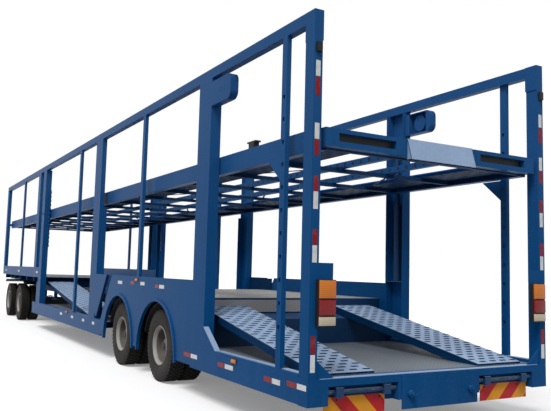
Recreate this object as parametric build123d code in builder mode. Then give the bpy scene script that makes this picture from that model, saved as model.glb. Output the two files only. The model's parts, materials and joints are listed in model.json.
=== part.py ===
"""A two-deck car carrier trailer: an open skeleton of posts and rails on a low
frame, a low well between the rear bogie and the raised neck, a hinged upper
deck, and a two-axle turntable dolly that carries the neck.

Millimetres. X runs forward along the trailer, Y to its left and Z up. Places
along the trailer are stations, measured forward from its rear face.
"""
from build123d import *
import os

os.makedirs("parts", exist_ok=True)

# Driving sizes of the whole trailer
body_length = 17950
body_width = 3150
body_height = 4000
drawbar_reach = 2150
rear_reach = 70

# Sections and allowances that many pieces share
rail_bottom = 365
rail_height = 270
rail_width = 90
plate = 8
cross_length = 70
cross_depth = 110
running_gap = 5
side_gap = 15
fit = 0.05
cut_over = 50
rail_top = rail_bottom + rail_height
half_width = body_width / 2
inner_rail = half_width - rail_width
sides = (1, -1)


def station(along):
    """X of a place given as its distance ahead of the rear face."""
    return along - (body_length + drawbar_reach - rear_reach) / 2


def block(x0, x1, y0, y1, z0, z1, mode=Mode.ADD):
    """A block between two stations, two Y values and two heights."""
    with BuildSketch(Plane.XY.offset(z0)) as face:
        with Locations((station((x0 + x1) / 2), (y0 + y1) / 2)):
            Rectangle(abs(x1 - x0), abs(y1 - y0))
    extrude(face.sketch, amount=z1 - z0, mode=mode)


def both(x0, x1, y0, y1, z0, z1, mode=Mode.ADD):
    """The same block on the left and on the right."""
    for side in sides:
        block(x0, x1, side * y0, side * y1, z0, z1, mode)


def side_shape(points, y0, y1, mode=Mode.ADD):
    """A side view outline of (station, height) points, as thick as y0 to y1."""
    with BuildSketch(Plane.XZ.offset(-y0)) as face:
        with BuildLine():
            Polyline(*[(station(s), z) for s, z in points], close=True)
        make_face()
    extrude(face.sketch, amount=y0 - y1, mode=mode)


def turned(along, height, radius, y0, y1, mode=Mode.ADD):
    """A round bar across the trailer."""
    with BuildSketch(Plane.XZ.offset(-y0)) as face:
        with Locations((station(along), height)):
            Circle(radius)
    extrude(face.sketch, amount=y0 - y1, mode=mode)


def faceted(along, height, radius, count, y0, y1, mode=Mode.ADD):
    """A many-sided bar across the trailer, its corners on the radius."""
    with BuildSketch(Plane.XZ.offset(-y0)) as face:
        with Locations((station(along), height)):
            RegularPolygon(radius, count)
    extrude(face.sketch, amount=y0 - y1, mode=mode)


def between(start, end, shares):
    """Stations at the given shares of the way from start to end."""
    return [start + share * (end - start) for share in shares]


def save(builder, name):
    """Label a finished piece and write it."""
    builder.part.label = name
    export_step(builder.part, f"parts/{name}.step")


# Wheels and axles
tyre_radius = 490
tyre_width = 235
twin_gap = 40
tyre_inset = 55
rim_radius = 255
axle_spread = 1740
dolly_spread = 1800
bogie_share = 0.2652
kingpin_share = 0.897
bogie_centre = bogie_share * body_length
kingpin = kingpin_share * body_length
axle_height = tyre_radius
tyre_outer = half_width - tyre_inset
rear_axle_stations = (bogie_centre - axle_spread / 2, bogie_centre + axle_spread / 2)
dolly_axle_stations = (kingpin - dolly_spread / 2, kingpin + dolly_spread / 2)

# Side panels over the bogie
panel_thickness = 30
panel_top = 1420
panel_bottom = 390
panel_tail = 510
panel_finger = 260
panel_gap = 310
panel_foot = 680
arch_radius = 740
arch_sides = 48
arch_top = 1095
lip_width = 35
lip_proud = 20
panel_inner = half_width - panel_thickness
panel_rear = rear_axle_stations[0] - arch_radius - panel_tail
arch_front = rear_axle_stations[1] + arch_radius
rail_restart = arch_front + panel_finger
panel_slope_foot = rail_restart - lip_proud
panel_slope_head = arch_front - panel_gap
front_plate_length = 660
front_plate_corner = 60
front_plate_end = arch_front + front_plate_length

# Neck, raised over the dolly
neck_share = 0.6836
neck_bottom = 1250
neck_height = 250
neck_rail_width = 100
riser_length = 580
riser_inset = 80
riser_thickness = 40
neck_start = neck_share * body_length
neck_top = neck_bottom + neck_height
neck_inner = half_width - neck_rail_width
rail_front = neck_start + riser_length

# Rear beam: full width, with a recess on each side for a ramp hinge rod
beam_length = 160
beam_bottom = 360
beam_top = 600
recess_top = 530
recess_depth = 90
recess_inner = 540
recess_margin = 225
recess_outer = half_width - recess_margin
centre_half = 500
centre_bottom = 270
centre_proud = 12
with BuildPart() as rear_beam:
    block(0, beam_length, -half_width, half_width, beam_bottom, beam_top)
    both(-cut_over, recess_depth, recess_inner, recess_outer,
         beam_bottom - cut_over, recess_top, Mode.SUBTRACT)
    block(-centre_proud, 0, -centre_half, centre_half, centre_bottom, beam_top - centre_proud)
save(rear_beam, "rear_beam")

# Ramp hinge rods in the recesses, each held by two knuckles
rod_radius = 22
rod_sides = 8
rod_height = 470
rod_station = 45
knuckle_inset = 90
knuckle_width = 80
knuckle_size = 90
with BuildPart() as ramp_hinge_rods:
    for side in sides:
        faceted(rod_station, rod_height, rod_radius, rod_sides, side * recess_inner,
                side * recess_outer)
    for y in (recess_inner + knuckle_inset, recess_outer - knuckle_inset - knuckle_width):
        both(rod_station - knuckle_size / 2, recess_depth, y, y + knuckle_width,
             rod_height - knuckle_size / 2, rod_height + knuckle_size / 2)
save(ramp_hinge_rods, "ramp_hinge_rods")

# Marker boards hung behind the recesses
board_inner = 640
board_outer = recess_outer - running_gap
board_bottom = 250
board_top = 422
board_thickness = 6
with BuildPart() as marker_boards:
    both(recess_depth - board_thickness, recess_depth, board_inner, board_outer,
         board_bottom, board_top)
save(marker_boards, "marker_boards")

# Raised floor over the bogie: a plate folded down at both ends, and the wall behind it
deck_top = 1190
deck_lip = 190
deck_overlap = 260
deck_back = 130
wall_back = 80
hump_wall = panel_rear - wall_back
deck_start = panel_rear + deck_overlap
deck_end = arch_front + deck_back
floor_top = 600
ramp_flange = 90
ramp_foot_rise = 20
ramp_drop = 100
ramp_thickness = 10
track_width = 650
track_margin = 225
track_outer = half_width - track_margin
track_inner = track_outer - track_width
ramp_foot = beam_length + running_gap
ramp_head = deck_start - 2 * running_gap
ramp_foot_top = floor_top + ramp_foot_rise
ramp_head_top = deck_top - ramp_drop
wall_share = (hump_wall - ramp_foot) / (ramp_head - ramp_foot)
wall_top = ramp_foot_top + wall_share * (ramp_head_top - ramp_foot_top) - ramp_flange - plate
with BuildPart() as bogie_deck:
    deck_fold = ((deck_start, deck_top), (deck_end, deck_top), (deck_end, deck_top - deck_lip),
                 (deck_end - plate, deck_top - deck_lip), (deck_end - plate, deck_top - plate),
                 (deck_start + plate, deck_top - plate),
                 (deck_start + plate, deck_top - deck_lip), (deck_start, deck_top - deck_lip))
    side_shape(deck_fold, -panel_inner, panel_inner)
    block(hump_wall, hump_wall + plate, -inner_rail, inner_rail, floor_top, wall_top)
save(bogie_deck, "bogie_deck")

# Ramp tracks: perforated sloping plates with turned down edges
hole_length = 40
hole_width = 90
hole_columns = 3
hole_pitch = 240
ramp_edge = 90


def ramp_tracks(foot, foot_top, head, head_top, perforated):
    """A pair of sloping tracks that stand on the floor at their feet."""
    rise = head_top - foot_top
    run = head - foot
    knee = foot + run * (floor_top + ramp_flange - foot_top) / rise
    plate_points = ((foot, foot_top), (head, head_top), (head, head_top - ramp_thickness),
                    (foot, foot_top - ramp_thickness))
    edge_points = ((foot, floor_top), (foot, foot_top - ramp_thickness),
                   (head, head_top - ramp_thickness), (head, head_top - ramp_flange),
                   (knee, floor_top))
    slope = (run ** 2 + rise ** 2) ** 0.5
    rows = int(slope / hole_pitch) - 1
    for side in sides:
        side_shape(plate_points, side * track_inner, side * track_outer)
        for y in (track_inner, track_outer - ramp_thickness):
            side_shape(edge_points, side * y, side * (y + ramp_thickness))
        if not perforated:
            continue
        middle = (station((foot + head) / 2), side * (track_inner + track_outer) / 2,
                  (foot_top + head_top) / 2)
        with BuildSketch(Plane(middle, x_dir=(run, 0, rise), z_dir=(-rise, 0, run))) as holes:
            with GridLocations(hole_pitch, (track_width - 2 * ramp_edge) / (hole_columns - 1),
                               rows, hole_columns):
                Rectangle(hole_length, hole_width)
        extrude(holes.sketch, amount=2 * ramp_thickness, both=True, mode=Mode.SUBTRACT)


with BuildPart() as rear_ramps:
    ramp_tracks(ramp_foot, ramp_foot_top, ramp_head, ramp_head_top, True)
save(rear_ramps, "rear_ramps")

descent = 1400
flat_between = 400
descent_head = deck_end + 2 * running_gap
neck_ramp_head = neck_start - 2 * running_gap
with BuildPart() as well_ramps:
    ramp_tracks(descent_head + descent, ramp_foot_top, descent_head, ramp_head_top, False)
    ramp_tracks(descent_head + descent + flat_between, ramp_foot_top, neck_ramp_head,
                neck_bottom - ramp_drop, False)
save(well_ramps, "well_ramps")

# Floors: behind the bogie, in the well and on the neck
with BuildPart() as floor_plates:
    block(beam_length, hump_wall + plate, -inner_rail, inner_rail, floor_top - plate, floor_top)
    block(rail_restart, neck_start, -inner_rail, inner_rail, floor_top - plate, floor_top)
    block(neck_start, body_length, -neck_inner, neck_inner, neck_bottom, neck_bottom + plate)
save(floor_plates, "floor_plates")

# Long members: side rails, raised neck rails and the two beams over the bogie springs
spring_width = 80
spring_outer = track_inner - 2 * running_gap
spring_inner = spring_outer - spring_width
chassis_bottom = 900
deck_cross_bottom = deck_top - plate - cross_depth
with BuildPart() as frame_rails:
    both(beam_length, panel_rear, inner_rail, half_width, rail_bottom, rail_top)
    both(rail_restart, rail_front, inner_rail, half_width, rail_bottom, rail_top)
    both(neck_start, body_length, neck_inner, half_width, neck_bottom, neck_top)
    both(deck_start + plate, deck_end - plate, spring_inner, spring_outer,
         chassis_bottom, deck_cross_bottom)
save(frame_rails, "frame_rails")

# Cross members under the floors, over the bogie and under the neck
rear_cross_shares = (0.3, 0.62, 0.93)
well_cross_shares = (0.02, 0.2, 0.38, 0.56, 0.74, 0.98)
bogie_cross_shares = (0.03, 0.26, 0.49, 0.72, 0.94)
neck_cross_shares = (0.01, 0.2, 0.4, 0.9)
pivot_cross_offsets = (-330, 260)
neck_reach = half_width - 2 * running_gap
well_cross = between(rail_restart, rail_front - cross_length, well_cross_shares)
with BuildPart() as cross_members:
    for along in between(beam_length, hump_wall, rear_cross_shares) + well_cross:
        block(along, along + cross_length, -inner_rail, inner_rail,
              floor_top - plate - cross_depth, floor_top - plate)
    for along in between(deck_start, deck_end - cross_length, bogie_cross_shares):
        block(along, along + cross_length, -panel_inner, panel_inner,
              deck_cross_bottom, deck_top - plate)
    neck_cross = between(rail_front, body_length - cross_length, neck_cross_shares)
    for along in neck_cross + [kingpin + offset for offset in pivot_cross_offsets]:
        block(along, along + cross_length, -neck_reach, neck_reach,
              neck_bottom - cross_depth, neck_bottom)
save(cross_members, "cross_members")

# Bogie panels: a sheet with two flared arches, and a slanted plate ahead of it, on each side
with BuildPart() as bogie_panels:
    panel_outline = ((panel_rear, panel_bottom), (panel_rear, panel_top),
                     (panel_slope_head, panel_top), (panel_slope_foot, panel_foot),
                     (rail_restart, rail_top), (rail_restart, panel_bottom))
    front_outline = ((arch_front, panel_top), (front_plate_end, panel_top),
                     (front_plate_end, panel_foot + front_plate_corner),
                     (front_plate_end - front_plate_corner, panel_foot),
                     (panel_slope_foot + panel_gap, panel_foot))
    for side in sides:
        side_shape(panel_outline, side * panel_inner, side * half_width)
        side_shape(front_outline, side * panel_inner, side * half_width)
        for along in rear_axle_stations:
            with BuildSketch(Plane.XZ.offset(-side * panel_inner)) as lip:
                with Locations((station(along), arch_top - arch_radius)):
                    RegularPolygon(arch_radius + lip_width, arch_sides)
                with Locations((station(along), arch_top - 2 * arch_radius - lip_width)):
                    Rectangle(2 * arch_radius + 2 * lip_width, 2 * arch_radius + 2 * lip_width,
                              mode=Mode.SUBTRACT)
            extrude(lip.sketch, amount=-side * (panel_thickness + lip_proud))
        for along in rear_axle_stations:
            with BuildSketch(Plane.XZ.offset(-side * (panel_inner - cut_over))) as arch:
                with Locations((station(along), arch_top - arch_radius)):
                    RegularPolygon(arch_radius, arch_sides)
                with Locations((station(along), arch_top - arch_radius - arch_radius / 2)):
                    Rectangle(2 * arch_radius, arch_radius)
            extrude(arch.sketch, amount=-side * (panel_thickness + 2 * cut_over + lip_proud),
                    mode=Mode.SUBTRACT)
save(bogie_panels, "bogie_panels")

# Post stations
rear_post_length = 150
front_post_length = 200
corner_depth = 95
head_sleeve = 8
head_length = 290
slim_length = 100
slim_depth = 50
slim_shares = (0.2613, 0.4769, 0.829)
slotted_start = 490
slotted_length = 90
main_length = 370
hinge_post_length = 290
second_start = 370
second_length = 280
main_depth = 135
main_wall = 12
wide_length = 410
wide_depth = 80
top_rail_depth = 120
top_rail_width = 90
post_top = body_height - top_rail_depth
main_post = (panel_rear - main_length, panel_rear)
wide_post = (front_plate_end, front_plate_end + wide_length)
hinge_post = (neck_start - hinge_post_length, neck_start)
second_post = (neck_start + second_start, neck_start + second_start + second_length)
front_post = (body_length - front_post_length, body_length)

# Upper deck sizes
deck_beam_bottom = 2700
deck_beam_top = 2915
deck_beam_outer = half_width - main_depth - side_gap
deck_beam_width = 90
web = 10
flange = 14
deck_beam_inner = deck_beam_outer - deck_beam_width
web_inner = deck_beam_outer - web
deck_level = 2760
deck_split = neck_start + 330
hinge_station = neck_start - hinge_post_length / 2
pin_height = (deck_beam_bottom + deck_beam_top) / 2


def channel_post(span, depth, foot, head):
    """A pair of posts folded as channels that open inward."""
    both(span[0], span[1], half_width - main_wall, half_width, foot, head)
    both(span[0], span[0] + main_wall, half_width - depth, half_width - main_wall, foot, head)
    both(span[1] - main_wall, span[1], half_width - depth, half_width - main_wall, foot, head)


with BuildPart() as corner_posts:
    both(0, rear_post_length, half_width - corner_depth, half_width, beam_top, body_height)
    both(0, rear_post_length + head_sleeve, half_width - corner_depth - head_sleeve, half_width,
         body_height - head_length, body_height)
    both(front_post[0], front_post[1], half_width - corner_depth, half_width,
         neck_top, body_height)
save(corner_posts, "corner_posts")

with BuildPart() as slim_posts:
    for share, foot in zip(slim_shares, (panel_top, rail_top, neck_top)):
        along = share * body_length
        both(along, along + slim_length, half_width - slim_depth, half_width, foot, post_top)
save(slim_posts, "slim_posts")

# Slotted posts near the rear, with a ladder of locking slots for the deck
slot_length = 40
slot_height = 40
slot_pitch = 225
slot_first = 1000
slot_end_margin = 250
with BuildPart() as slotted_posts:
    both(slotted_start, slotted_start + slotted_length, half_width - slim_depth, half_width,
         rail_top, post_top)
    slot_middle = slotted_start + slotted_length / 2
    for step in range(int((post_top - slot_end_margin - slot_first) / slot_pitch)):
        z = slot_first + step * slot_pitch
        both(slot_middle - slot_length / 2, slot_middle + slot_length / 2,
             half_width - slim_depth - cut_over, half_width + cut_over,
             z, z + slot_height, Mode.SUBTRACT)
save(slotted_posts, "slotted_posts")

with BuildPart() as wide_posts:
    channel_post(wide_post, wide_depth, rail_top, post_top)
    channel_post(wide_post, main_depth, rail_top, deck_beam_bottom - cross_length)
save(wide_posts, "wide_posts")

with BuildPart() as main_posts:
    channel_post(main_post, main_depth, rail_top, post_top)
    channel_post(hinge_post, main_depth, rail_top, post_top)
    channel_post(second_post, main_depth, neck_top, post_top)
save(main_posts, "main_posts")

with BuildPart() as top_rails:
    both(rear_post_length + head_sleeve, front_post[0], half_width - top_rail_width, half_width,
         post_top, body_height)
save(top_rails, "top_rails")

# Corner plates: risers under the neck rails and triangles at the feet of posts
gusset_thickness = 12
riser_outer = half_width - riser_inset
foot_gusset_length = 320
foot_gusset_height = 230
rear_gusset_width = 200
rear_gusset_height = 170
brace_length = 320
brace_bottom = 2450
brace_top = 2720
with BuildPart() as gusset_plates:
    both(neck_start, rail_front, riser_outer - riser_thickness, riser_outer,
         rail_top, neck_bottom)
    slotted_front = slotted_start + slotted_length
    foot_points = ((main_post[0] - foot_gusset_length, rail_top), (main_post[0], rail_top),
                   (main_post[0], rail_top + foot_gusset_height))
    brace_points = ((slotted_front, brace_bottom), (slotted_front + brace_length, brace_top),
                    (slotted_front, brace_top))
    for side in sides:
        for points in (foot_points, brace_points):
            side_shape(points, side * (half_width - gusset_thickness), side * half_width)
        post_inner = side * (half_width - corner_depth)
        with BuildSketch(Plane.YZ.offset(station(gusset_thickness))) as corner:
            with BuildLine():
                Polyline((post_inner, beam_top), (post_inner, beam_top + rear_gusset_height),
                         (post_inner - side * rear_gusset_width, beam_top), close=True)
            make_face()
        extrude(corner.sketch, amount=gusset_thickness)
save(gusset_plates, "gusset_plates")

# Sheave housings on the rear of the main posts: a rounded shell round a lifting sheave
housing_length = 520
housing_height = 300
housing_drop = 50
housing_width = 100
housing_corner = 90
housing_wall = 12
sheave_radius = 115
sheave_width = 45
sheave_bolt = 28
sheave_sides = 16
housing_middle = main_post[0] - housing_length / 2
housing_centre = post_top - housing_drop - housing_height / 2
with BuildPart() as sheave_housings:
    for side in sides:
        with BuildSketch(Plane.XZ.offset(-side * (half_width - housing_width))) as shell:
            with Locations((station(housing_middle), housing_centre)):
                Rectangle(housing_length, housing_height)
            fillet(shell.vertices().group_by(Axis.X)[0], housing_corner)
            with Locations((station(housing_middle), housing_centre)):
                Rectangle(housing_length - 2 * housing_corner, housing_height - 2 * housing_wall,
                          mode=Mode.SUBTRACT)
        extrude(shell.sketch, amount=-side * (housing_width - housing_wall))
        with BuildSketch(Plane.XZ.offset(-side * (half_width - housing_wall))) as cheek:
            with Locations((station(housing_middle), housing_centre)):
                Rectangle(housing_length, housing_height)
            fillet(cheek.vertices().group_by(Axis.X)[0], housing_corner)
            with Locations((station(housing_middle), housing_centre)):
                RegularPolygon(sheave_bolt, sheave_sides, mode=Mode.SUBTRACT)
        extrude(cheek.sketch, amount=-side * housing_wall)
save(sheave_housings, "sheave_housings")

with BuildPart() as sheaves:
    for side in sides:
        sheave_seat = side * (half_width - housing_wall)
        faceted(housing_middle, housing_centre, sheave_radius, sheave_sides, sheave_seat,
                sheave_seat - side * sheave_width)
        faceted(housing_middle, housing_centre, sheave_bolt - running_gap, sheave_sides,
                sheave_seat, side * half_width)
save(sheaves, "sheaves")

# Lift cylinders standing in the channels of the main posts
cylinder_radius = 45
cylinder_sides = 12
lift_rod_radius = 28
cylinder_foot = 1450
cylinder_head = 2550
lift_rod_drop = 430
lift_rod_head = post_top - lift_rod_drop
with BuildPart() as lift_cylinders:
    for side in sides:
        y = side * (half_width - (main_depth + main_wall) / 2)
        for radius, foot, head in ((cylinder_radius, cylinder_foot, cylinder_head),
                                   (lift_rod_radius, cylinder_head, lift_rod_head)):
            with BuildSketch(Plane.XY.offset(foot)) as ring:
                with Locations((station((main_post[0] + main_post[1]) / 2), y)):
                    RegularPolygon(radius, cylinder_sides)
            extrude(ring.sketch, amount=head - foot)
        for z in (cylinder_foot - plate, lift_rod_head):
            block(main_post[0] + main_wall, main_post[1] - main_wall,
                  side * (half_width - main_wall), side * (half_width - main_depth), z, z + plate)
save(lift_cylinders, "lift_cylinders")

# Toothed racks on the inner rear edge of the hinge posts
rack_bottom = 2000
rack_drop = 480
rack_width = 40
tooth_pitch = 100
tooth_height = 50
tooth_depth = 45
rack_top = post_top - rack_drop
rack_inner = half_width - main_depth
with BuildPart() as rack_bars:
    both(hinge_post[0] - rack_width, hinge_post[0], rack_inner, rack_inner + rack_width,
         rack_bottom, rack_top)
    for step in range(int((rack_top - rack_bottom) / tooth_pitch)):
        z = rack_bottom + step * tooth_pitch
        both(hinge_post[0] - rack_width - tooth_depth, hinge_post[0] - rack_width,
             rack_inner, rack_inner + rack_width, z, z + tooth_height)
save(rack_bars, "rack_bars")

# Lamps: tail clusters, position lamps high on the rear posts and side markers
lamp_outer_margin = 65
lamp_width = 190
lamp_bottom = 1070
lamp_top = 1490
lamp_bracket_top = 1640
high_lamp_drop = 410
high_lamp_height = 90
high_lamp_width = 55
high_lamp_depth = 30
side_lamp_length = 90
side_lamp_height = 45
side_lamp_depth = 20
side_lamp_shares = (0.078, 0.2786, 0.5014)
side_lamp_heights = (560, 1370, 590)
lamp_outer = half_width - lamp_outer_margin
lamp_inner = lamp_outer - lamp_width
high_lamp_top = body_height - head_length - (high_lamp_drop - head_length)
with BuildPart() as lamps:
    both(-rear_reach, 0, lamp_inner, lamp_outer, lamp_bottom, lamp_top)
    both(-high_lamp_depth, 0, half_width - corner_depth / 2 - high_lamp_width / 2,
         half_width - corner_depth / 2 + high_lamp_width / 2,
         high_lamp_top, high_lamp_top + high_lamp_height)
    for share, z in zip(side_lamp_shares, side_lamp_heights):
        along = share * body_length
        both(along, along + side_lamp_length, half_width, half_width + side_lamp_depth,
             z - side_lamp_height / 2, z + side_lamp_height / 2)
save(lamps, "lamps")

with BuildPart() as lamp_brackets:
    both(0, plate, lamp_inner, half_width - corner_depth, lamp_bottom, lamp_bracket_top)
save(lamp_brackets, "lamp_brackets")

# Upper deck: channel beams, centre girders, wheel tracks and cross members
deck_track_width = 560
girder_inner = 300
girder_width = 60
girder_depth = 72
deck_cross_width = 60
deck_cross_pitch = 1150
brace_width = 60
bed_brace_shares = (0.08, 0.34, 0.6, 0.86)
deck_track_inner = web_inner - deck_track_width
deck_front = body_length - front_post_length / 2


def deck_beams(x0, x1):
    """Channel beams with their webs outside, and the two girders between."""
    both(x0, x1, web_inner, deck_beam_outer, deck_beam_bottom, deck_beam_top)
    both(x0, x1, deck_beam_inner, web_inner, deck_beam_bottom, deck_beam_bottom + flange)
    both(x0, x1, deck_beam_inner, web_inner, deck_beam_top - flange, deck_beam_top)
    both(x0, x1, girder_inner, girder_inner + girder_width, deck_level,
         deck_level + girder_depth)


def deck_tracks(x0, x1, brace_shares):
    """Wheel tracks, with flat braces between the tracks and the girders."""
    both(x0, x1, deck_track_inner, web_inner, deck_level, deck_level + plate)
    for along in between(x0, x1, brace_shares):
        for side in sides:
            near = side * (girder_inner + girder_width + running_gap)
            far = side * (deck_track_inner - running_gap)
            reach = deck_cross_pitch - deck_cross_width - brace_width
            with BuildSketch(Plane.XY.offset(deck_level)) as brace:
                with BuildLine():
                    Polyline((station(along), near), (station(along + brace_width), near),
                             (station(along + brace_width + reach), far),
                             (station(along + reach), far), close=True)
                make_face()
            extrude(brace.sketch, amount=plate)


def deck_cross(x0, x1):
    """Cross members that rest on the lower flanges."""
    count = round((x1 - x0) / deck_cross_pitch)
    step = (x1 - x0 - deck_cross_width) / count
    for index in range(count + 1):
        along = x0 + index * step
        block(along, along + deck_cross_width, -web_inner, web_inner,
              deck_beam_bottom + flange, deck_level)


with BuildPart() as front_beams:
    deck_beams(deck_split, deck_front)
    both(second_post[0], second_post[1], deck_beam_outer, half_width - main_depth,
         deck_level, deck_level + girder_depth)
    both(front_post[0], deck_front, deck_beam_outer, half_width - corner_depth,
         deck_level, deck_level + girder_depth)
save(front_beams, "front_beams")

with BuildPart() as front_tracks:
    deck_tracks(deck_split, deck_front, ())
save(front_tracks, "front_tracks")

with BuildPart() as front_cross_members:
    deck_cross(deck_split, deck_front)
save(front_cross_members, "front_cross_members")

# Hinge pins in the hinge posts, and the ears on the bed that turn on them
pin_radius = 30
pin_sides = 12
ear_radius = 70
ear_sides = 16
ear_width = 55
collar_radius = 50
collar_sides = 8
ear_outer = deck_beam_outer + ear_width
with BuildPart() as deck_pins:
    for side in sides:
        faceted(hinge_station, pin_height, pin_radius, pin_sides,
                side * (deck_beam_outer + running_gap), side * (half_width - main_wall))
        faceted(hinge_station, pin_height, collar_radius, collar_sides,
                side * (ear_outer + running_gap), side * (half_width - main_wall))
save(deck_pins, "deck_pins")

with BuildPart() as bed_ears:
    for side in sides:
        faceted(hinge_station, pin_height, ear_radius, ear_sides, side * deck_beam_outer,
                side * ear_outer)
        turned(hinge_station, pin_height, pin_radius + fit, side * deck_beam_outer,
               side * (ear_outer + cut_over), Mode.SUBTRACT)
save(bed_ears, "bed_ears")

# The bed: the rear part of the upper deck, which tips on the pins
bed_rear = 10
end_beam_length = 120
end_bottom = 2725
end_top = 2900
bed_gap = 30
slot_inner = 580
slot_margin = 155
slot_bottom_margin = 55
slot_top_margin = 40
apron_half = 450
apron_drop = 35
lug_length = 60
lug_height = 60
bed_start = bed_rear + end_beam_length
bed_front = deck_split - bed_gap
with BuildPart() as bed_beams:
    deck_beams(bed_start, bed_front)
save(bed_beams, "bed_beams")

with BuildPart() as bed_tracks:
    deck_tracks(bed_start, bed_front, bed_brace_shares)
save(bed_tracks, "bed_tracks")

with BuildPart() as bed_cross_members:
    deck_cross(bed_start, bed_front)
save(bed_cross_members, "bed_cross_members")

with BuildPart() as bed_end_beam:
    block(bed_rear, bed_start, -deck_beam_outer, deck_beam_outer, end_bottom, end_top)
    both(bed_rear - cut_over, bed_start + cut_over, slot_inner, deck_beam_outer - slot_margin,
         end_bottom + slot_bottom_margin, end_top - slot_top_margin, Mode.SUBTRACT)
    block(bed_rear - plate, bed_rear, -apron_half, apron_half, end_bottom - apron_drop, end_top)
    both(bed_rear - plate, bed_rear, apron_half, apron_half + lug_length,
         end_bottom, end_bottom + lug_height)
save(bed_end_beam, "bed_end_beam")

# Running gear
twin_width = 2 * tyre_width + twin_gap
tyre_inner = tyre_outer - twin_width
hub_margin = 60
hub_overlap = 30
hub_outer = tyre_outer - hub_margin
hub_inner = tyre_inner - hub_overlap
beam_half_size = 75
spindle_radius = 50
spindle_sides = 12
axle_top = axle_height + beam_half_size


def axles(stations):
    """A square beam with a spindle at each end."""
    for along in stations:
        block(along - beam_half_size, along + beam_half_size, -(hub_inner - running_gap),
              hub_inner - running_gap, axle_height - beam_half_size, axle_top)
        for side in sides:
            faceted(along, axle_height, spindle_radius, spindle_sides,
                    side * (hub_inner - running_gap), side * (hub_outer - running_gap))


spring_half_length = 740
spring_depth = 90
spring_camber = 60
hanger_length = 90
leaf_shares = ((-1, 1), (-0.6, 0.35), (-0.1, 0), (0.1, 0), (0.6, 0.35), (1, 1))
stack_shares = ((1, 1, 0.25), (0.6, 0.35, 0.6), (0.1, 0, 1), (-0.1, 0, 1), (-0.6, 0.35, 0.6),
                (-1, 1, 0.25))


def springs(stations, hang_from):
    """Cambered leaf packs on the axles with a hanger at each end."""
    for along in stations:
        below = [(along + a * spring_half_length, axle_top + c * spring_camber)
                 for a, c in leaf_shares]
        above = [(along + a * spring_half_length, axle_top + c * spring_camber + d * spring_depth)
                 for a, c, d in stack_shares]
        for side in sides:
            side_shape(below + above, side * spring_inner, side * spring_outer)
        for end in (along - spring_half_length, along + spring_half_length - hanger_length):
            both(end, end + hanger_length, spring_inner, spring_outer,
                 axle_top + spring_camber, hang_from)


with BuildPart() as rear_axles:
    axles(rear_axle_stations)
save(rear_axles, "rear_axles")

with BuildPart() as rear_springs:
    springs(rear_axle_stations, chassis_bottom)
save(rear_springs, "rear_springs")

# Turntable: the upper disc under the neck and the lower one on the dolly
turntable_radius = 520
turntable_sides = 36
turntable_bolt_radius = 60
turntable_plate = 22
turntable_top = neck_bottom - cross_depth
dolly_top = turntable_top - 2 * turntable_plate


def king_bolt(radius, z0, z1, mode=Mode.ADD):
    """An upright round bar on the dolly's axis."""
    with BuildSketch(Plane.XY.offset(z0)) as ring:
        with Locations((station(kingpin), 0)):
            Circle(radius)
    extrude(ring.sketch, amount=z1 - z0, mode=mode)


def turntable_disc(z0):
    """A many-sided plate about the king bolt."""
    with BuildSketch(Plane.XY.offset(z0)) as disc:
        with Locations((station(kingpin), 0)):
            RegularPolygon(turntable_radius, turntable_sides)
    extrude(disc.sketch, amount=turntable_plate)


with BuildPart() as turntable_upper:
    turntable_disc(turntable_top - turntable_plate)
    king_bolt(turntable_bolt_radius, dolly_top, turntable_top - turntable_plate)
save(turntable_upper, "turntable_upper")

with BuildPart() as turntable_lower:
    turntable_disc(dolly_top)
    king_bolt(turntable_bolt_radius + fit, dolly_top - cut_over, turntable_top + cut_over,
              Mode.SUBTRACT)
save(turntable_lower, "turntable_lower")

# Dolly under the neck
dolly_half_length = 1650
dolly_rail_width = 90
dolly_rail_bottom = 820
dolly_cross_shares = (0, 0.34, 0.64, 1)
dolly_rail_outer = spring_outer
dolly_rail_inner = dolly_rail_outer - dolly_rail_width
dolly_rear = kingpin - dolly_half_length
dolly_nose = kingpin + dolly_half_length
with BuildPart() as dolly_frame:
    both(dolly_rear, dolly_nose, dolly_rail_inner, dolly_rail_outer, dolly_rail_bottom, dolly_top)
    for along in between(dolly_rear, dolly_nose - cross_length, dolly_cross_shares):
        block(along, along + cross_length, -dolly_rail_inner, dolly_rail_inner,
              dolly_top - 2 * cross_length, dolly_top)
save(dolly_frame, "dolly_frame")

with BuildPart() as dolly_axles:
    axles(dolly_axle_stations)
save(dolly_axles, "dolly_axles")

with BuildPart() as dolly_springs:
    springs(dolly_axle_stations, dolly_rail_bottom)
save(dolly_springs, "dolly_springs")

guard_thickness = 6
guard_overlap = 560
guard_slope = 180
guard_drop = 85
guard_rear = dolly_axle_stations[0] - guard_overlap
guard_front = dolly_axle_stations[1] + guard_overlap
guard_points = ((guard_rear, dolly_top + guard_thickness),
                (guard_front, dolly_top + guard_thickness),
                (guard_front + guard_slope, dolly_top + guard_thickness - guard_drop),
                (guard_front + guard_slope, dolly_top - guard_drop),
                (guard_front, dolly_top), (guard_rear, dolly_top),
                (guard_rear - guard_slope, dolly_top - guard_drop),
                (guard_rear - guard_slope, dolly_top + guard_thickness - guard_drop))
with BuildPart() as dolly_mudguards:
    for side in sides:
        side_shape(guard_points, side * dolly_rail_outer, side * tyre_outer)
save(dolly_mudguards, "dolly_mudguards")

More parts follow.
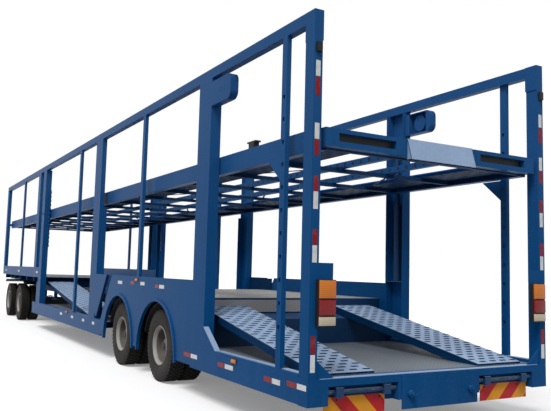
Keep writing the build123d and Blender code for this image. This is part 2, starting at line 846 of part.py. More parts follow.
# Drawbar: two legs that close on the shank of a towing eye
bar_width = 145
bar_depth = 120
bar_top = 900
eye_outer_radius = 75
eye_sides = 16
eye_bore_radius = 38
shank_length = 420
shank_half = 55
landing = 260
eye_station = body_length + drawbar_reach - eye_outer_radius
shank_rear = eye_station - shank_length
with BuildPart() as drawbar_legs:
    for side in sides:
        with BuildSketch(Plane.XY.offset(bar_top - bar_depth)) as leg:
            with BuildLine():
                Polyline((station(dolly_nose), side * dolly_rail_outer),
                         (station(shank_rear + landing), side * shank_half),
                         (station(shank_rear), side * shank_half),
                         (station(dolly_nose), side * (dolly_rail_outer - bar_width)), close=True)
            make_face()
        extrude(leg.sketch, amount=bar_depth)
save(drawbar_legs, "drawbar_legs")

with BuildPart() as towing_eye:
    with BuildSketch(Plane.XY.offset(bar_top - bar_depth)) as eye:
        with Locations((station(eye_station), 0)):
            RegularPolygon(eye_outer_radius, eye_sides)
        with Locations((station((shank_rear + eye_station) / 2), 0)):
            Rectangle(shank_length, 2 * shank_half)
        with Locations((station(eye_station), 0)):
            Circle(eye_bore_radius, mode=Mode.SUBTRACT)
    extrude(eye.sketch, amount=bar_depth)
save(towing_eye, "towing_eye")

# Wheels: twin tyres on a hub with a deep dished rim outboard and a brake drum inboard,
# one body for each axle end
tyre_sides = 16
drum_sides = 12
shoulder = 40
rim_wall = 12
hub_radius = 110
dish_floor = (tyre_inner + tyre_outer) / 2
axle_rows = (("rear_one", rear_axle_stations[0]), ("rear_two", rear_axle_stations[1]),
             ("dolly_one", dolly_axle_stations[0]), ("dolly_two", dolly_axle_stations[1]))
side_names = (("left", 1), ("right", -1))
for row_name, along in axle_rows:
    for side_name, side in side_names:
        with BuildPart() as tyres:
            for inner in (tyre_inner, tyre_inner + tyre_width + twin_gap):
                faceted(along, axle_height, tyre_radius, tyre_sides, side * inner,
                        side * (inner + tyre_width))
            chamfer(tyres.edges().filter_by(Axis.Y, reverse=True), shoulder)
            faceted(along, axle_height, rim_radius, tyre_sides, side * (tyre_inner - cut_over),
                    side * (tyre_outer + cut_over), Mode.SUBTRACT)
        save(tyres, f"{row_name}_{side_name}_tyres")
        with BuildPart() as hub:
            faceted(along, axle_height, rim_radius, tyre_sides, side * tyre_inner,
                    side * tyre_outer)
            faceted(along, axle_height, rim_radius - rim_wall, tyre_sides, side * dish_floor,
                    side * (tyre_outer + cut_over), Mode.SUBTRACT)
            faceted(along, axle_height, hub_radius, drum_sides, side * hub_inner,
                    side * hub_outer)
            turned(along, axle_height, spindle_radius + fit, side * (hub_inner - cut_over),
                   side * (hub_outer + cut_over), Mode.SUBTRACT)
        save(hub, f"{row_name}_{side_name}_hub")

# Landing legs with foot pads, folded up ahead of a cross member of the well
leg_size = 120
leg_bottom = 420
leg_y = 1150
foot_size = 180
leg_station = well_cross[-2] + cross_length
with BuildPart() as landing_legs:
    both(leg_station, leg_station + leg_size, leg_y - leg_size / 2, leg_y + leg_size / 2,
         leg_bottom, floor_top - plate)
    both(leg_station, leg_station + foot_size, leg_y - foot_size / 2, leg_y + foot_size / 2,
         leg_bottom - plate, leg_bottom)
save(landing_legs, "landing_legs")
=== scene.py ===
import json
import math

import bmesh
import bpy
from bpy.props import FloatProperty, FloatVectorProperty, IntProperty, PointerProperty
from mathutils import Matrix, Vector


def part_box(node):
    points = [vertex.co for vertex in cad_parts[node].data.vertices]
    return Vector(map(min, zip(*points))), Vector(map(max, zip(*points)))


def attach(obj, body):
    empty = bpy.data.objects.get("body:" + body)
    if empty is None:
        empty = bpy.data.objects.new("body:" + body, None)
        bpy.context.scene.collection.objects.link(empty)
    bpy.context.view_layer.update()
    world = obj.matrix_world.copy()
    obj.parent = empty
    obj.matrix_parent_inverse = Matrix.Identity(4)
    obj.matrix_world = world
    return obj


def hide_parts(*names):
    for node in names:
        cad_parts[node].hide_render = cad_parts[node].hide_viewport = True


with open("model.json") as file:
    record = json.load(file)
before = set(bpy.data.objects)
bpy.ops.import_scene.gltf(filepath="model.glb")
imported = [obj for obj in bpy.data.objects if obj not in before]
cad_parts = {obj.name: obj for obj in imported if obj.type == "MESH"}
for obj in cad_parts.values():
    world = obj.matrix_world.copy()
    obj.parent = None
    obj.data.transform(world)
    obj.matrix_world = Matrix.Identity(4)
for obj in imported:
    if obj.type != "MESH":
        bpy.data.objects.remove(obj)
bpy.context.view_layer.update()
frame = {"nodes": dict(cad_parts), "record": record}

bl_info = {
    "name": "Car carrier trailer",
    "version": (1, 0, 0),
    "blender": (4, 5, 0),
    "location": "View3D > Sidebar > Carrier",
    "description": "Dresses a two-deck car carrier trailer in paint, tread, lamps and tape",
    "category": "Object",
}

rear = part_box("corner_posts")[0].x
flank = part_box("frame_rails")[1].y
sides = (1, -1)
wheel_rows = ("rear_one", "rear_two", "dolly_one", "dolly_two")
side_signs = {"left": 1, "right": -1}
sharp_angle = math.radians(32)
# How far a piece that lies on paint is sunk into it
sunk = 0.001
finishes = {}


def times(colour, factor):
    """A colour made lighter or darker."""
    return tuple(channel * factor for channel in colour)


def span(side, *reaches):
    """Distances from the middle of the trailer as places on one side, in rising order."""
    return sorted(side * reach for reach in reaches)


def math_node(operation, reflected=False):
    """A method of a field that adds one Math node."""

    def method(field, *others):
        values = (*others, field) if reflected else (field, *others)
        return field.tree.node("ShaderNodeMath", {"operation": operation}, *values)

    return method


class Field:
    """A socket whose operators add Math nodes."""

    def __init__(self, tree, socket):
        self.tree = tree
        self.socket = socket

    __add__ = math_node("ADD")
    __radd__ = math_node("ADD", True)
    __sub__ = math_node("SUBTRACT")
    __rsub__ = math_node("SUBTRACT", True)
    __mul__ = math_node("MULTIPLY")
    __rmul__ = math_node("MULTIPLY", True)
    __truediv__ = math_node("DIVIDE")
    __mod__ = math_node("FLOORED_MODULO")
    __pow__ = math_node("POWER")
    __gt__ = math_node("GREATER_THAN")
    __abs__ = math_node("ABSOLUTE")
    floor = math_node("FLOOR")


class Tree:
    """Adds nodes to one node tree, and sets or links their sockets."""

    def __init__(self, tree):
        self.tree = tree

    def link(self, socket, value):
        if isinstance(value, Field):
            self.tree.links.new(value.socket, socket)
        elif socket.type == "RGBA" and len(value) == 3:
            socket.default_value = (*value, 1)
        else:
            socket.default_value = value

    def node(self, kind, settings, *values, out=0, **named):
        made = self.tree.nodes.new(kind)
        for key, value in settings.items():
            setattr(made, key, value)
        for index, value in enumerate(values):
            self.link(made.inputs[index], value)
        for key, value in named.items():
            self.link(made.inputs[key.replace("_", " ")], value)
        return Field(self, made.outputs[out])

    def seen(self):
        """One for the rays that show the pale background, and zero for those that light."""
        rays = [self.node("ShaderNodeLightPath", {}, out=kind)
                for kind in ("Is Camera Ray", "Is Glossy Ray", "Is Transmission Ray")]
        return rays[0] + rays[1] + rays[2]


class Shader(Tree):
    """A material's node tree, built from the surface back."""

    def __init__(self, name):
        self.material = bpy.data.materials.new(name)
        self.material.use_nodes = True
        super().__init__(self.material.node_tree)
        self.surface = self.tree.nodes["Principled BSDF"]
        self.place = self.node("ShaderNodeTexCoord", {}, out="Object")
        self.x, self.y, self.z = (self.node("ShaderNodeSeparateXYZ", {}, self.place, out=axis)
                                  for axis in "XYZ")

    def noise(self, scale, detail=3.0, stretch=(1, 1, 1)):
        place = self.node("ShaderNodeMapping", {}, Vector=self.place, Scale=stretch)
        return self.node("ShaderNodeTexNoise", {}, Vector=place, Scale=scale, Detail=detail)

    def band(self, value, low, high):
        return self.node("ShaderNodeMapRange", {"interpolation_type": "SMOOTHSTEP"},
                         Value=value, From_Min=low, From_Max=high)

    def facing(self, axis):
        """How far the surface faces an axis, from -1 to 1."""
        normal = self.node("ShaderNodeNewGeometry", {}, out="True Normal")
        return self.node("ShaderNodeSeparateXYZ", {}, normal, out=axis)

    def mix(self, share, first, second):
        made = self.tree.nodes.new("ShaderNodeMix")
        made.data_type = "RGBA"
        self.link(made.inputs[0], share)
        self.link(made.inputs[6], first)
        self.link(made.inputs[7], second)
        return Field(self, made.outputs[2])

    def shades(self, share, colour, low, high):
        """A colour between two brightnesses of it."""
        return self.mix(share, times(colour, low), times(colour, high))

    def web(self, scale, width):
        """The lines between the small cells of reflecting sheet."""
        cells = self.node("ShaderNodeTexVoronoi", {"feature": "DISTANCE_TO_EDGE"},
                          Vector=self.place, Scale=scale)
        return 1 - self.band(cells, 0.02, width)

    def bump(self, height, strength, distance):
        return self.node("ShaderNodeBump", {}, Height=height, Strength=strength,
                         Distance=distance)

    def finish(self, **sockets):
        for key, value in sockets.items():
            self.link(self.surface.inputs[key.replace("_", " ")], value)
        return self.material


class Pattern(Tree):
    """A Geometry Nodes tree that repeats one small piece, with its sizes as inputs."""

    def __init__(self, name, **kinds):
        super().__init__(bpy.data.node_groups.new(name, "GeometryNodeTree"))
        for label, kind in (("Piece", "Object"), ("Finish", "Material"), *kinds.items()):
            self.tree.interface.new_socket(name=label, in_out="INPUT",
                                           socket_type="NodeSocket" + kind)
        self.tree.interface.new_socket(name="Mesh", in_out="OUTPUT",
                                       socket_type="NodeSocketGeometry")
        self.inputs = self.tree.nodes.new("NodeGroupInput")
        self.index = self.node("GeometryNodeInputIndex", {})

    def take(self, label):
        return Field(self, self.inputs.outputs[label])

    def scaled(self, vector, factor):
        return self.node("ShaderNodeVectorMath", {"operation": "SCALE"}, vector, Scale=factor)

    def moved(self, first, second):
        return self.node("ShaderNodeVectorMath", {"operation": "ADD"}, first, second)

    def close(self, count, place, turn):
        """Put a copy of the piece at each place, and end the tree."""
        points = self.node("GeometryNodePoints", {}, Count=count, Position=place)
        piece = self.node("GeometryNodeObjectInfo", {}, Object=self.take("Piece"),
                          out="Geometry")
        copies = self.node("GeometryNodeInstanceOnPoints", {}, Points=points, Instance=piece,
                           Rotation=turn)
        solid = self.node("GeometryNodeRealizeInstances", {}, copies)
        painted = self.node("GeometryNodeSetMaterial", {}, Geometry=solid,
                            Material=self.take("Finish"))
        self.tree.links.new(painted.socket, self.tree.nodes.new("NodeGroupOutput").inputs[0])

    def make(self, piece, finish, **values):
        """The plain mesh that the tree makes of a small piece."""
        holder = bpy.data.objects.new("holder", bpy.data.meshes.new("holder"))
        bpy.context.collection.objects.link(holder)
        modifier = holder.modifiers.new("pattern", "NODES")
        modifier.node_group = self.tree
        settings = {"Piece": piece, "Finish": finish, **values}
        for socket in self.tree.interface.items_tree:
            if socket.in_out == "INPUT":
                modifier[socket.identifier] = settings[socket.name]
        graph = bpy.context.evaluated_depsgraph_get()
        mesh = bpy.data.meshes.new_from_object(holder.evaluated_get(graph))
        bpy.data.objects.remove(holder)
        return mesh


def ring_pattern():
    """Copies of a piece turned about an axis through the origin."""
    ring = Pattern("ring", Count="Int", Axis="Vector", Centre="Vector")
    angle = ring.index * math.tau / ring.take("Count")
    ring.close(ring.take("Count"), ring.take("Centre"), ring.scaled(ring.take("Axis"), angle))
    return ring


def grid_pattern():
    """Rows and columns of a piece, with every other row shifted."""
    grid = Pattern("grid", Columns="Int", Rows="Int", Across="Vector", Along="Vector",
                   Stagger="Vector", Origin="Vector", Turn="Vector")
    column = grid.index % grid.take("Columns")
    row = (grid.index - column) / grid.take("Columns")
    place = grid.moved(grid.take("Origin"), grid.scaled(grid.take("Across"), column))
    place = grid.moved(place, grid.scaled(grid.take("Along"), row))
    place = grid.moved(place, grid.scaled(grid.take("Stagger"), row % 2))
    grid.close(grid.take("Columns") * grid.take("Rows"), place, grid.take("Turn"))
    return grid


patterns = {}


def pattern(kind):
    """One of the two patterns, made when it is first asked for."""
    if kind not in patterns:
        patterns[kind] = {"ring": ring_pattern, "grid": grid_pattern}[kind]()
    return patterns[kind]


class Pile:
    """Solids and plates gathered into one mesh, in metres at their places."""

    def __init__(self):
        self.mesh = bmesh.new()

    def loop(self, points):
        return [self.mesh.verts.new(point) for point in points]

    def skin(self, loops, capped=False):
        """Faces between loops of points; a loop of one point closes to a tip."""
        for first, second in zip(loops, loops[1:]):
            for i in range(max(len(loop) for loop in loops)):
                corners = [loop[(i + step) % len(loop)]
                           for loop, step in ((first, 0), (first, 1), (second, 1), (second, 0))]
                self.mesh.faces.new(list(dict.fromkeys(corners)))
        if capped:
            self.mesh.faces.new(loops[0][::-1])
            self.mesh.faces.new(loops[-1])

    def prism(self, outline, start, end):
        """An outline of (x, z) points pushed along Y from start to end."""
        self.skin([self.loop([(x, y, z) for x, z in outline]) for y in (start, end)], True)

    def prisms(self, outline, *reaches):
        """The same on each side of the trailer."""
        for side in sides:
            self.prism(outline, *span(side, *reaches))

    def block(self, low, high, inset=0.0):
        """A block whose far face, towards +Z, is inset on all sides."""
        loops = []
        for z, margin in ((low[2], 0.0), (high[2], inset)):
            x0, y0, x1, y1 = (low[0] + margin, low[1] + margin, high[0] - margin,
                              high[1] - margin)
            loops.append(self.loop([(x0, y0, z), (x1, y0, z), (x1, y1, z), (x0, y1, z)]))
        self.skin(loops, True)
        return loops[0] + loops[1]

    def blocks(self, x, reaches, z):
        """A block on each side of the trailer."""
        for side in sides:
            near, far = span(side, *reaches)
            self.block((x[0], near, z[0]), (x[1], far, z[1]))

    def lathe(self, profile, segments, axis="Y", centre=(0, 0, 0), closed=False):
        """A profile of (radius, along) points turned about an axis through the centre."""
        turn = {"X": lambda r, t, a: (t, r * math.cos(a), r * math.sin(a)),
                "Y": lambda r, t, a: (r * math.sin(a), t, r * math.cos(a)),
                "Z": lambda r, t, a: (r * math.cos(a), r * math.sin(a), t)}[axis]
        loops = [self.loop([Vector(turn(radius, along, math.tau * i / segments)) + Vector(centre)
                            for i in range(segments if radius else 1)])
                 for radius, along in profile]
        self.skin(loops + loops[:1] if closed else loops)
        return [vert for loop in loops for vert in loop]

    def tube(self, path, radius, segments=10):
        """A round bar that follows a path of points in one plane."""
        path = [Vector(point) for point in path]
        ways = [(b - a).normalized() for a, b in zip(path, path[1:])]
        flat = ways[0].cross(ways[-1])
        flat = flat.normalized() if flat.length > 0.001 else ways[0].orthogonal().normalized()
        loops = []
        for index, point in enumerate(path):
            near = ways[max(index - 1, 0)]
            far = ways[min(index, len(ways) - 1)]
            way = (near + far).normalized()
            out = way.cross(flat).normalized() / max(way.dot(far), 0.5)
            loops.append(self.loop([point + radius * (math.cos(a) * flat + math.sin(a) * out)
                                    for a in (math.tau * i / segments for i in range(segments))]))
        self.skin(loops, True)

    def turn(self, verts, matrix):
        bmesh.ops.transform(self.mesh, matrix=matrix, verts=verts)

    def add(self, mesh, matrix=Matrix()):
        """Take in a copy of a mesh at a place."""
        copy = mesh.copy()
        copy.transform(matrix)
        self.mesh.from_mesh(copy)
        bpy.data.meshes.remove(copy)

    def mark(self, depth):
        """Mark the faces that lie lower than a depth as inside a slot, where the ramp's material
        paints shade.
        """
        layer = self.mesh.faces.layers.float.new("inside")
        for face in self.mesh.faces:
            lowest = min(vert.co.z for vert in face.verts)
            face[layer] = float(lowest < depth)

    def smoothed(self, width):
        """Round every sharp edge a little."""
        edges = [edge for edge in self.mesh.edges
                 if len(edge.link_faces) == 2 and edge.calc_face_angle() > sharp_angle]
        bmesh.ops.bevel(self.mesh, geom=edges, offset=width, segments=2, profile=0.5,
                        affect="EDGES")

    def close(self, name):
        """The gathered mesh, smooth with sharp edges kept, its faces pointing out."""
        bmesh.ops.recalc_face_normals(self.mesh, faces=self.mesh.faces)
        for face in self.mesh.faces:
            face.material_index = 0
            face.smooth = True
        mesh = bpy.data.meshes.new(name)
        self.mesh.to_mesh(mesh)
        self.mesh.free()
        mesh.set_sharp_from_angle(angle=sharp_angle)
        return mesh

    def copies(self, kind, finish, **values):
        """The plain mesh of a pattern of this small piece."""
        piece = bpy.data.objects.new("small_piece", self.close("small_piece"))
        bpy.context.collection.objects.link(piece)
        mesh = pattern(kind).make(piece, finishes[finish], **values)
        bpy.data.objects.remove(piece)
        return mesh

    def ring(self, finish, count, axis=(0, 1, 0), centre=(0, 0, 0)):
        """Copies of this small piece set round an axis."""
        return self.copies("ring", finish, Count=count, Axis=axis, Centre=centre)

    def row(self, count, start, step, facing):
        """Copies of this small piece in a row, all facing one way."""
        return self.copies("grid", "dark_steel", Columns=count, Rows=1, Across=step,
                           Along=(0, 0, 0), Stagger=(0, 0, 0), Origin=start,
                           Turn=facing_turns[facing])

    def finish(self, name, body, finish, slot, *stood_for):
        """Make the piece, and say what it rides on and what it stands for."""
        mesh = self.close(name)
        mesh.materials.clear()
        mesh.materials.append(finishes[finish])
        piece = bpy.data.objects.new(name, mesh)
        bpy.context.collection.objects.link(piece)
        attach(piece, body)
        if stood_for:
            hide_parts(*stood_for)
        return piece


def sized(name, text, default):
    return FloatProperty(name=name, description=text, default=default, subtype="DISTANCE",
                         unit="LENGTH")


def tint(name, text, default):
    return FloatVectorProperty(name=name, description=text, default=default, size=3,
                               subtype="COLOR", min=0, max=1)


def counted(name, text, default):
    return IntProperty(name=name, description=text, default=default, min=1)


class CarrierPaint(bpy.types.PropertyGroup):
    blue: tint("Blue paint", "Colour of the posts, rails and frames", (0.004, 0.074, 0.232))
    plate: tint("Ramp plate", "Colour of the ramps and wheel tracks", (0.27, 0.385, 0.57))
    floor: tint("Floor plate", "Colour of the floors", (0.145, 0.175, 0.215))
    steel: tint("Dark steel", "Colour of axles, pins and rods", (0.019, 0.020, 0.023))
    dust: tint("Road dust", "Colour of the dust low on the trailer", (0.20, 0.18, 0.16))
    rubber: tint("Rubber", "Colour of the tyres", (0.012, 0.011, 0.010))
    # The rims' dish takes this colour, made darker as painted shade
    rim: tint("Rims", "Colour of the rims", (0.20, 0.175, 0.155))
    orange: tint("Board orange", "Ground colour of the marker boards", (0.86, 0.34, 0.008))
    red: tint("Red", "Colour of the red lamps and stripes", (0.27, 0.004, 0.008))
    white: tint("White", "Colour of the white strips", (0.76, 0.77, 0.77))
    amber: tint("Amber", "Colour of the amber lamps", (0.72, 0.20, 0.015))
    cream: tint("Clear lens", "Colour of the clear lamps", (0.60, 0.52, 0.39))
    stripe: sized("Stripe", "Width of a stripe on the marker boards, across the board", 0.19)


class CarrierWheels(bpy.types.PropertyGroup):
    pitches: counted("Tread pitches", "Lugs round a tyre", 48)
    lug_height: sized("Lug height", "Depth of the tread", 0.013)
    nuts: counted("Wheel nuts", "Nuts on a hub", 10)
    hand_holes: counted("Hand holes", "Holes in a wheel disc", 8)


class CarrierRamps(bpy.types.PropertyGroup):
    slot_length: sized("Slot length", "Length of a slot across the ramp", 0.094)
    slot_width: sized("Slot width", "Width of a slot along the ramp", 0.034)
    columns: counted("Columns", "Slots across a ramp", 4)
    row_pitch: sized("Row pitch", "Distance between rows of slots", 0.088)
    rim: sized("Rim", "Width and rise of a slot's raised edge", 0.006)


class CarrierTrim(bpy.types.PropertyGroup):
    tape_width: sized("Tape width", "Width of the reflecting strips", 0.050)
    tape_rise: sized("Tape rise", "How far a strip stands off the paint", 0.0015)
    hole_pitch: sized("Girder hole pitch", "Distance between holes in the deck girders", 0.150)


class CarrierStage(bpy.types.PropertyGroup):
    floor: tint("Floor", "Colour of the floor", (0.90, 0.90, 0.90))
    lens: FloatProperty(name="Lens", description="Focal length of the camera in millimetres",
                        default=44.11)
    place: FloatVectorProperty(name="Camera place", description="Where the camera stands",
                               default=(-15.1221, 4.8803, 1.5555), size=3, subtype="TRANSLATION")


def painted_steel(name, colour, paint, gloss):
    """Sprayed paint: clouded, streaked by rain, lighter high up as painted light from above, dusty
    where it faces up.
    """
    shader = Shader(name)
    clouds = shader.noise(0.8)
    streaks = shader.noise(7.0, 4.0, (1, 1, 0.06))
    fine = shader.noise(26.0, 5.0)
    shade = shader.shades(clouds * 0.6 + streaks * 0.4, colour, 0.72, 1.3)
    low = 1 - shader.band(shader.z, 0.25, 0.8)
    upward = shader.band(shader.facing("Z"), 0.6, 1.0)
    dust = shader.band(fine * 0.5 + streaks * 0.5, 0.38, 0.62) * (low * 0.05 + upward * 0.3)
    scuffs = shader.band(shader.noise(55.0, 2.0, (0.3, 1, 1)), 0.70, 0.74)
    # Painted light: the paint grows lighter towards the top, standing in for the light that falls
    # from above
    painted_light_high_up = shader.band(shader.z, 0.9, 3.7) * (0.6 + clouds * 0.6)
    shade = shader.mix(painted_light_high_up * 0.16, shade, tuple(c * 1.2 + 0.09 for c in colour))
    shade = shader.mix(dust, shade, paint.dust)
    shade = shader.mix(scuffs * 0.25, shade, tuple(min(1, c * 3 + 0.05) for c in colour))
    orange_peel = shader.noise(160.0, 2.0)
    return shader.finish(Base_Color=shade, Roughness=gloss + dust * 0.45 + fine * 0.08,
                         Normal=shader.bump(orange_peel * 0.4 + fine * 0.6, 0.18, 0.002),
                         Specular_IOR_Level=0.03)


def chequer(shader, size):
    """Height of raised tears that cross each other in turn."""
    u = (shader.x + shader.y) / size
    v = (shader.x - shader.y) / size
    turn = (u.floor() + v.floor()) % 2
    across = u % 1 - 0.5
    along = v % 1 - 0.5
    long_way = across * turn + along * (1 - turn)
    short_way = across * (1 - turn) + along * turn
    reach = (long_way * long_way + short_way * short_way * 9) ** 0.5
    return 1 - shader.band(reach, 0.30, 0.44)


def floor_plate(name, colour, paint):
    """Raised pattern plate, rubbed bright on its tears, with painted shade in dark blue where it
    turns down.
    """
    shader = Shader(name)
    tears = chequer(shader, chequer_size)
    clouds = shader.noise(1.3)
    fine = shader.noise(18.0, 5.0)
    shade = shader.shades(clouds * 0.5 + fine * 0.5, colour, 0.72, 1.22)
    shade = shader.mix((1 - tears) * shader.band(fine, 0.4, 0.6) * 0.4, shade,
                       times(paint.dust, 0.8))
    shade = shader.mix(tears * 0.16, shade, tuple(min(1, c * 1.7) for c in colour))
    # Painted shade: faces that turn down are painted a dark blue, darker than the paint, as the
    # shade under and beside the plate
    level = shader.band(shader.facing("Z"), 0.3, 0.7)
    shade = shader.mix(level, shader.shades(clouds, paint.blue, 0.3, 0.6), shade)
    return shader.finish(Base_Color=shade, Roughness=0.55 - tears * 0.1 + fine * 0.1,
                         Normal=shader.bump((tears * 0.8 + fine * 0.2) * level, 0.4, 0.003),
                         Specular_IOR_Level=0.25)


def slotted_track(name, colour, paint, ramps):
    """Wheel tracks of the upper deck, with staggered slots across them painted dark as the shade
    inside them, and painted shade on faces that turn down.
    """
    shader = Shader(name)
    row = shader.x / (ramps.row_pitch * 1.3)
    column = shader.y / (ramps.slot_length * 1.75) + (row.floor() % 2) * 0.5
    along = abs(row % 1 - 0.5) * ramps.row_pitch * 1.3
    across = abs(column % 1 - 0.5) * ramps.slot_length * 1.75
    rise = across - (ramps.slot_length - ramps.slot_width) / 2
    over = rise * (rise > 0)
    reach = (over * over + along * along) ** 0.5
    hole = 1 - shader.band(reach, ramps.slot_width * 0.45, ramps.slot_width * 0.55)
    rim = 1 - shader.band(reach, ramps.slot_width * 0.6, ramps.slot_width)
    fine = shader.noise(16.0, 5.0)
    shade = shader.shades(fine, colour, 0.75, 1.2)
    # Painted shade: the slots are painted a dark steel colour, standing in for the shade inside them
    shade = shader.mix(hole, shade, times(paint.steel, 0.5))
    # Painted shade: faces that turn down are painted dark blue as the shade under the track
    level = shader.band(shader.facing("Z"), 0.3, 0.7)
    shade = shader.mix(level, times(paint.blue, 0.35), shade)
    return shader.finish(Base_Color=shade, Roughness=0.5 + fine * 0.15 + hole * 0.3,
                         Normal=shader.bump(rim - hole * 2, 0.5, 0.003),
                         Specular_IOR_Level=0.08)


def galvanised_ramp(name, colour, paint):
    """Bare-looking pale plate, scuffed along by tyres, with painted shade in dark blue inside its
    slots.
    """
    shader = Shader(name)
    inside = shader.node("ShaderNodeAttribute", {"attribute_name": "inside"}, out="Fac")
    clouds = shader.noise(2.2)
    wear = shader.noise(9.0, 4.0, (0.12, 1, 1))
    fine = shader.noise(40.0, 4.0)
    shade = shader.shades(clouds * 0.45 + wear * 0.55, colour, 0.68, 1.34)
    dust = shader.band(wear * 0.5 + fine * 0.5, 0.46, 0.66) * 0.2
    shade = shader.mix(dust, shade, paint.dust)
    # Painted shade: the slot walls are painted dark blue as the shade inside the slots
    shade = shader.mix(inside, shade, times(paint.blue, 0.25))
    return shader.finish(Base_Color=shade, Roughness=0.45 + dust * 0.4 + fine * 0.1,
                         Normal=shader.bump(fine, 0.15, 0.002), Specular_IOR_Level=0.3)


def bare_steel(name, colour, metal, worn=None):
    """Dark oiled or bright steel with fine marks, given another colour on top as a painted
    highlight.
    """
    shader = Shader(name)
    fine = shader.noise(30.0, 5.0)
    grime = shader.noise(5.0)
    shade = shader.shades(grime * 0.6 + fine * 0.4, colour, 0.6, 1.5)
    if worn:
        # Painted highlight: the top of the bar takes a lighter colour, standing in for the light on
        # it
        shade = shader.mix(shader.band(shader.facing("Z") + fine * 0.5, 0.55, 1.0), shade, worn)
    return shader.finish(Base_Color=shade, Roughness=0.4 + fine * 0.16, Metallic=metal,
                         Normal=shader.bump(fine, 0.2, 0.001), Specular_IOR_Level=0.2)


def tyre_rubber(name, paint):
    """Rubber browned by road dust, with dust held on the walls."""
    shader = Shader(name)
    fine = shader.noise(45.0, 6.0)
    clouds = shader.noise(3.0)
    wall = shader.band(abs(shader.facing("Y")), 0.55, 0.95)
    dust = shader.band(clouds * 0.5 + fine * 0.5, 0.35, 0.7) * (0.04 + wall * 0.13)
    shade = shader.mix(dust, shader.shades(fine, paint.rubber, 0.7, 1.5), paint.dust)
    return shader.finish(Base_Color=shade, Roughness=0.72 + fine * 0.2,
                         Normal=shader.bump(fine, 0.35, 0.0015), Specular_IOR_Level=0.25)


def rusty_rim(name, paint):
    """Grey rim paint, lighter at its lip as a painted highlight and darker in its dish as painted
    shade, with brown dust and rust in the dish.
    """
    shader = Shader(name)
    fine = shader.noise(60.0, 6.0)
    clouds = shader.noise(7.0, 4.0)
    low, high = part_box("rear_one_left_tyres")
    middle = (low.y + high.y) / 2
    # Painted light: the lip is painted light grey as a highlight, and the dish darker as the shade
    # in its hollow
    lip = shader.band(abs(shader.y), middle + 0.185, middle + 0.215)
    shade = shader.mix(lip, shader.shades(clouds, paint.rim, 0.35, 1.1),
                       shader.shades(clouds, (0.36, 0.355, 0.345), 0.75, 1.25))
    rust = shader.band(clouds * 0.6 + fine * 0.4, 0.5, 0.66) * (1 - lip * 0.7)
    shade = shader.mix(rust * 0.55, shade, (0.10, 0.045, 0.022))
    return shader.finish(Base_Color=shade, Roughness=0.55 + rust * 0.25,
                         Normal=shader.bump(fine * 0.5 + clouds * 0.5, 0.3, 0.0015),
                         Specular_IOR_Level=0.25)


def striped_board(name, paint):
    """Slanted stripes that fall outward on both boards, on reflecting sheet."""
    shader = Shader(name)
    slant = (abs(shader.y) - shader.z) / (2 * paint.stripe)
    stripe = shader.band(abs(slant % 1 - 0.5), 0.24, 0.26)
    fine = shader.noise(12.0, 5.0)
    shade = shader.mix(stripe, paint.orange, times(paint.red, 2))
    shade = shader.mix(shader.web(170.0, 0.08) * 0.06, shade, paint.white)
    shade = shader.mix(shader.band(fine, 0.45, 0.7) * 0.12, shade, paint.dust)
    return shader.finish(Base_Color=shade, Roughness=0.3 + fine * 0.15,
                         Specular_IOR_Level=0.15)


def reflecting_strip(name, colour, paint):
    """Reflecting tape: fine cells under a clear film, dirty in patches."""
    shader = Shader(name)
    fine = shader.noise(14.0, 5.0)
    shade = shader.mix(shader.web(260.0, 0.1) * 0.18, colour, times(colour, 0.5))
    shade = shader.mix(shader.band(fine, 0.45, 0.7) * 0.18, shade, paint.dust)
    return shader.finish(Base_Color=shade, Roughness=0.28 + fine * 0.2,
                         Specular_IOR_Level=0.2)


def lamp_lens(name, colour):
    """Coloured plastic with fluting behind a smooth face, the flutes painted lighter and darker as
    painted glints.
    """
    shader = Shader(name)
    flutes = abs((shader.y * 90 + shader.x * 90) % 1 - 0.5) * 2
    rows = abs((shader.z * 60) % 1 - 0.5) * 2
    flutes_with_painted_glint = flutes * 0.6 + rows * 0.4
    # Painted glint: the lens colour grows lighter and darker along the flutes, standing in for light
    # caught in them
    return shader.finish(Base_Color=shader.shades(flutes_with_painted_glint, colour, 0.65, 1.25), Roughness=0.16,
                         Specular_IOR_Level=0.3, Normal=shader.bump(flutes_with_painted_glint, 0.25, 0.002))


# Nodes with another finish than that of their slot: the cross members take a darker blue as painted
# shade, and the rods a painted highlight on top
special_finishes = {"floor_plates": "floor_plate", "bogie_deck": "hump_plate",
                    "bed_tracks": "wheel_track", "front_tracks": "wheel_track",
                    "ramp_hinge_rods": "worn_rod", "lift_cylinders": "worn_rod",
                    "sheaves": "blue_paint", "cross_members": "under_paint",
                    "bed_cross_members": "under_paint", "front_cross_members": "under_paint"}
chequer_size = 0.055


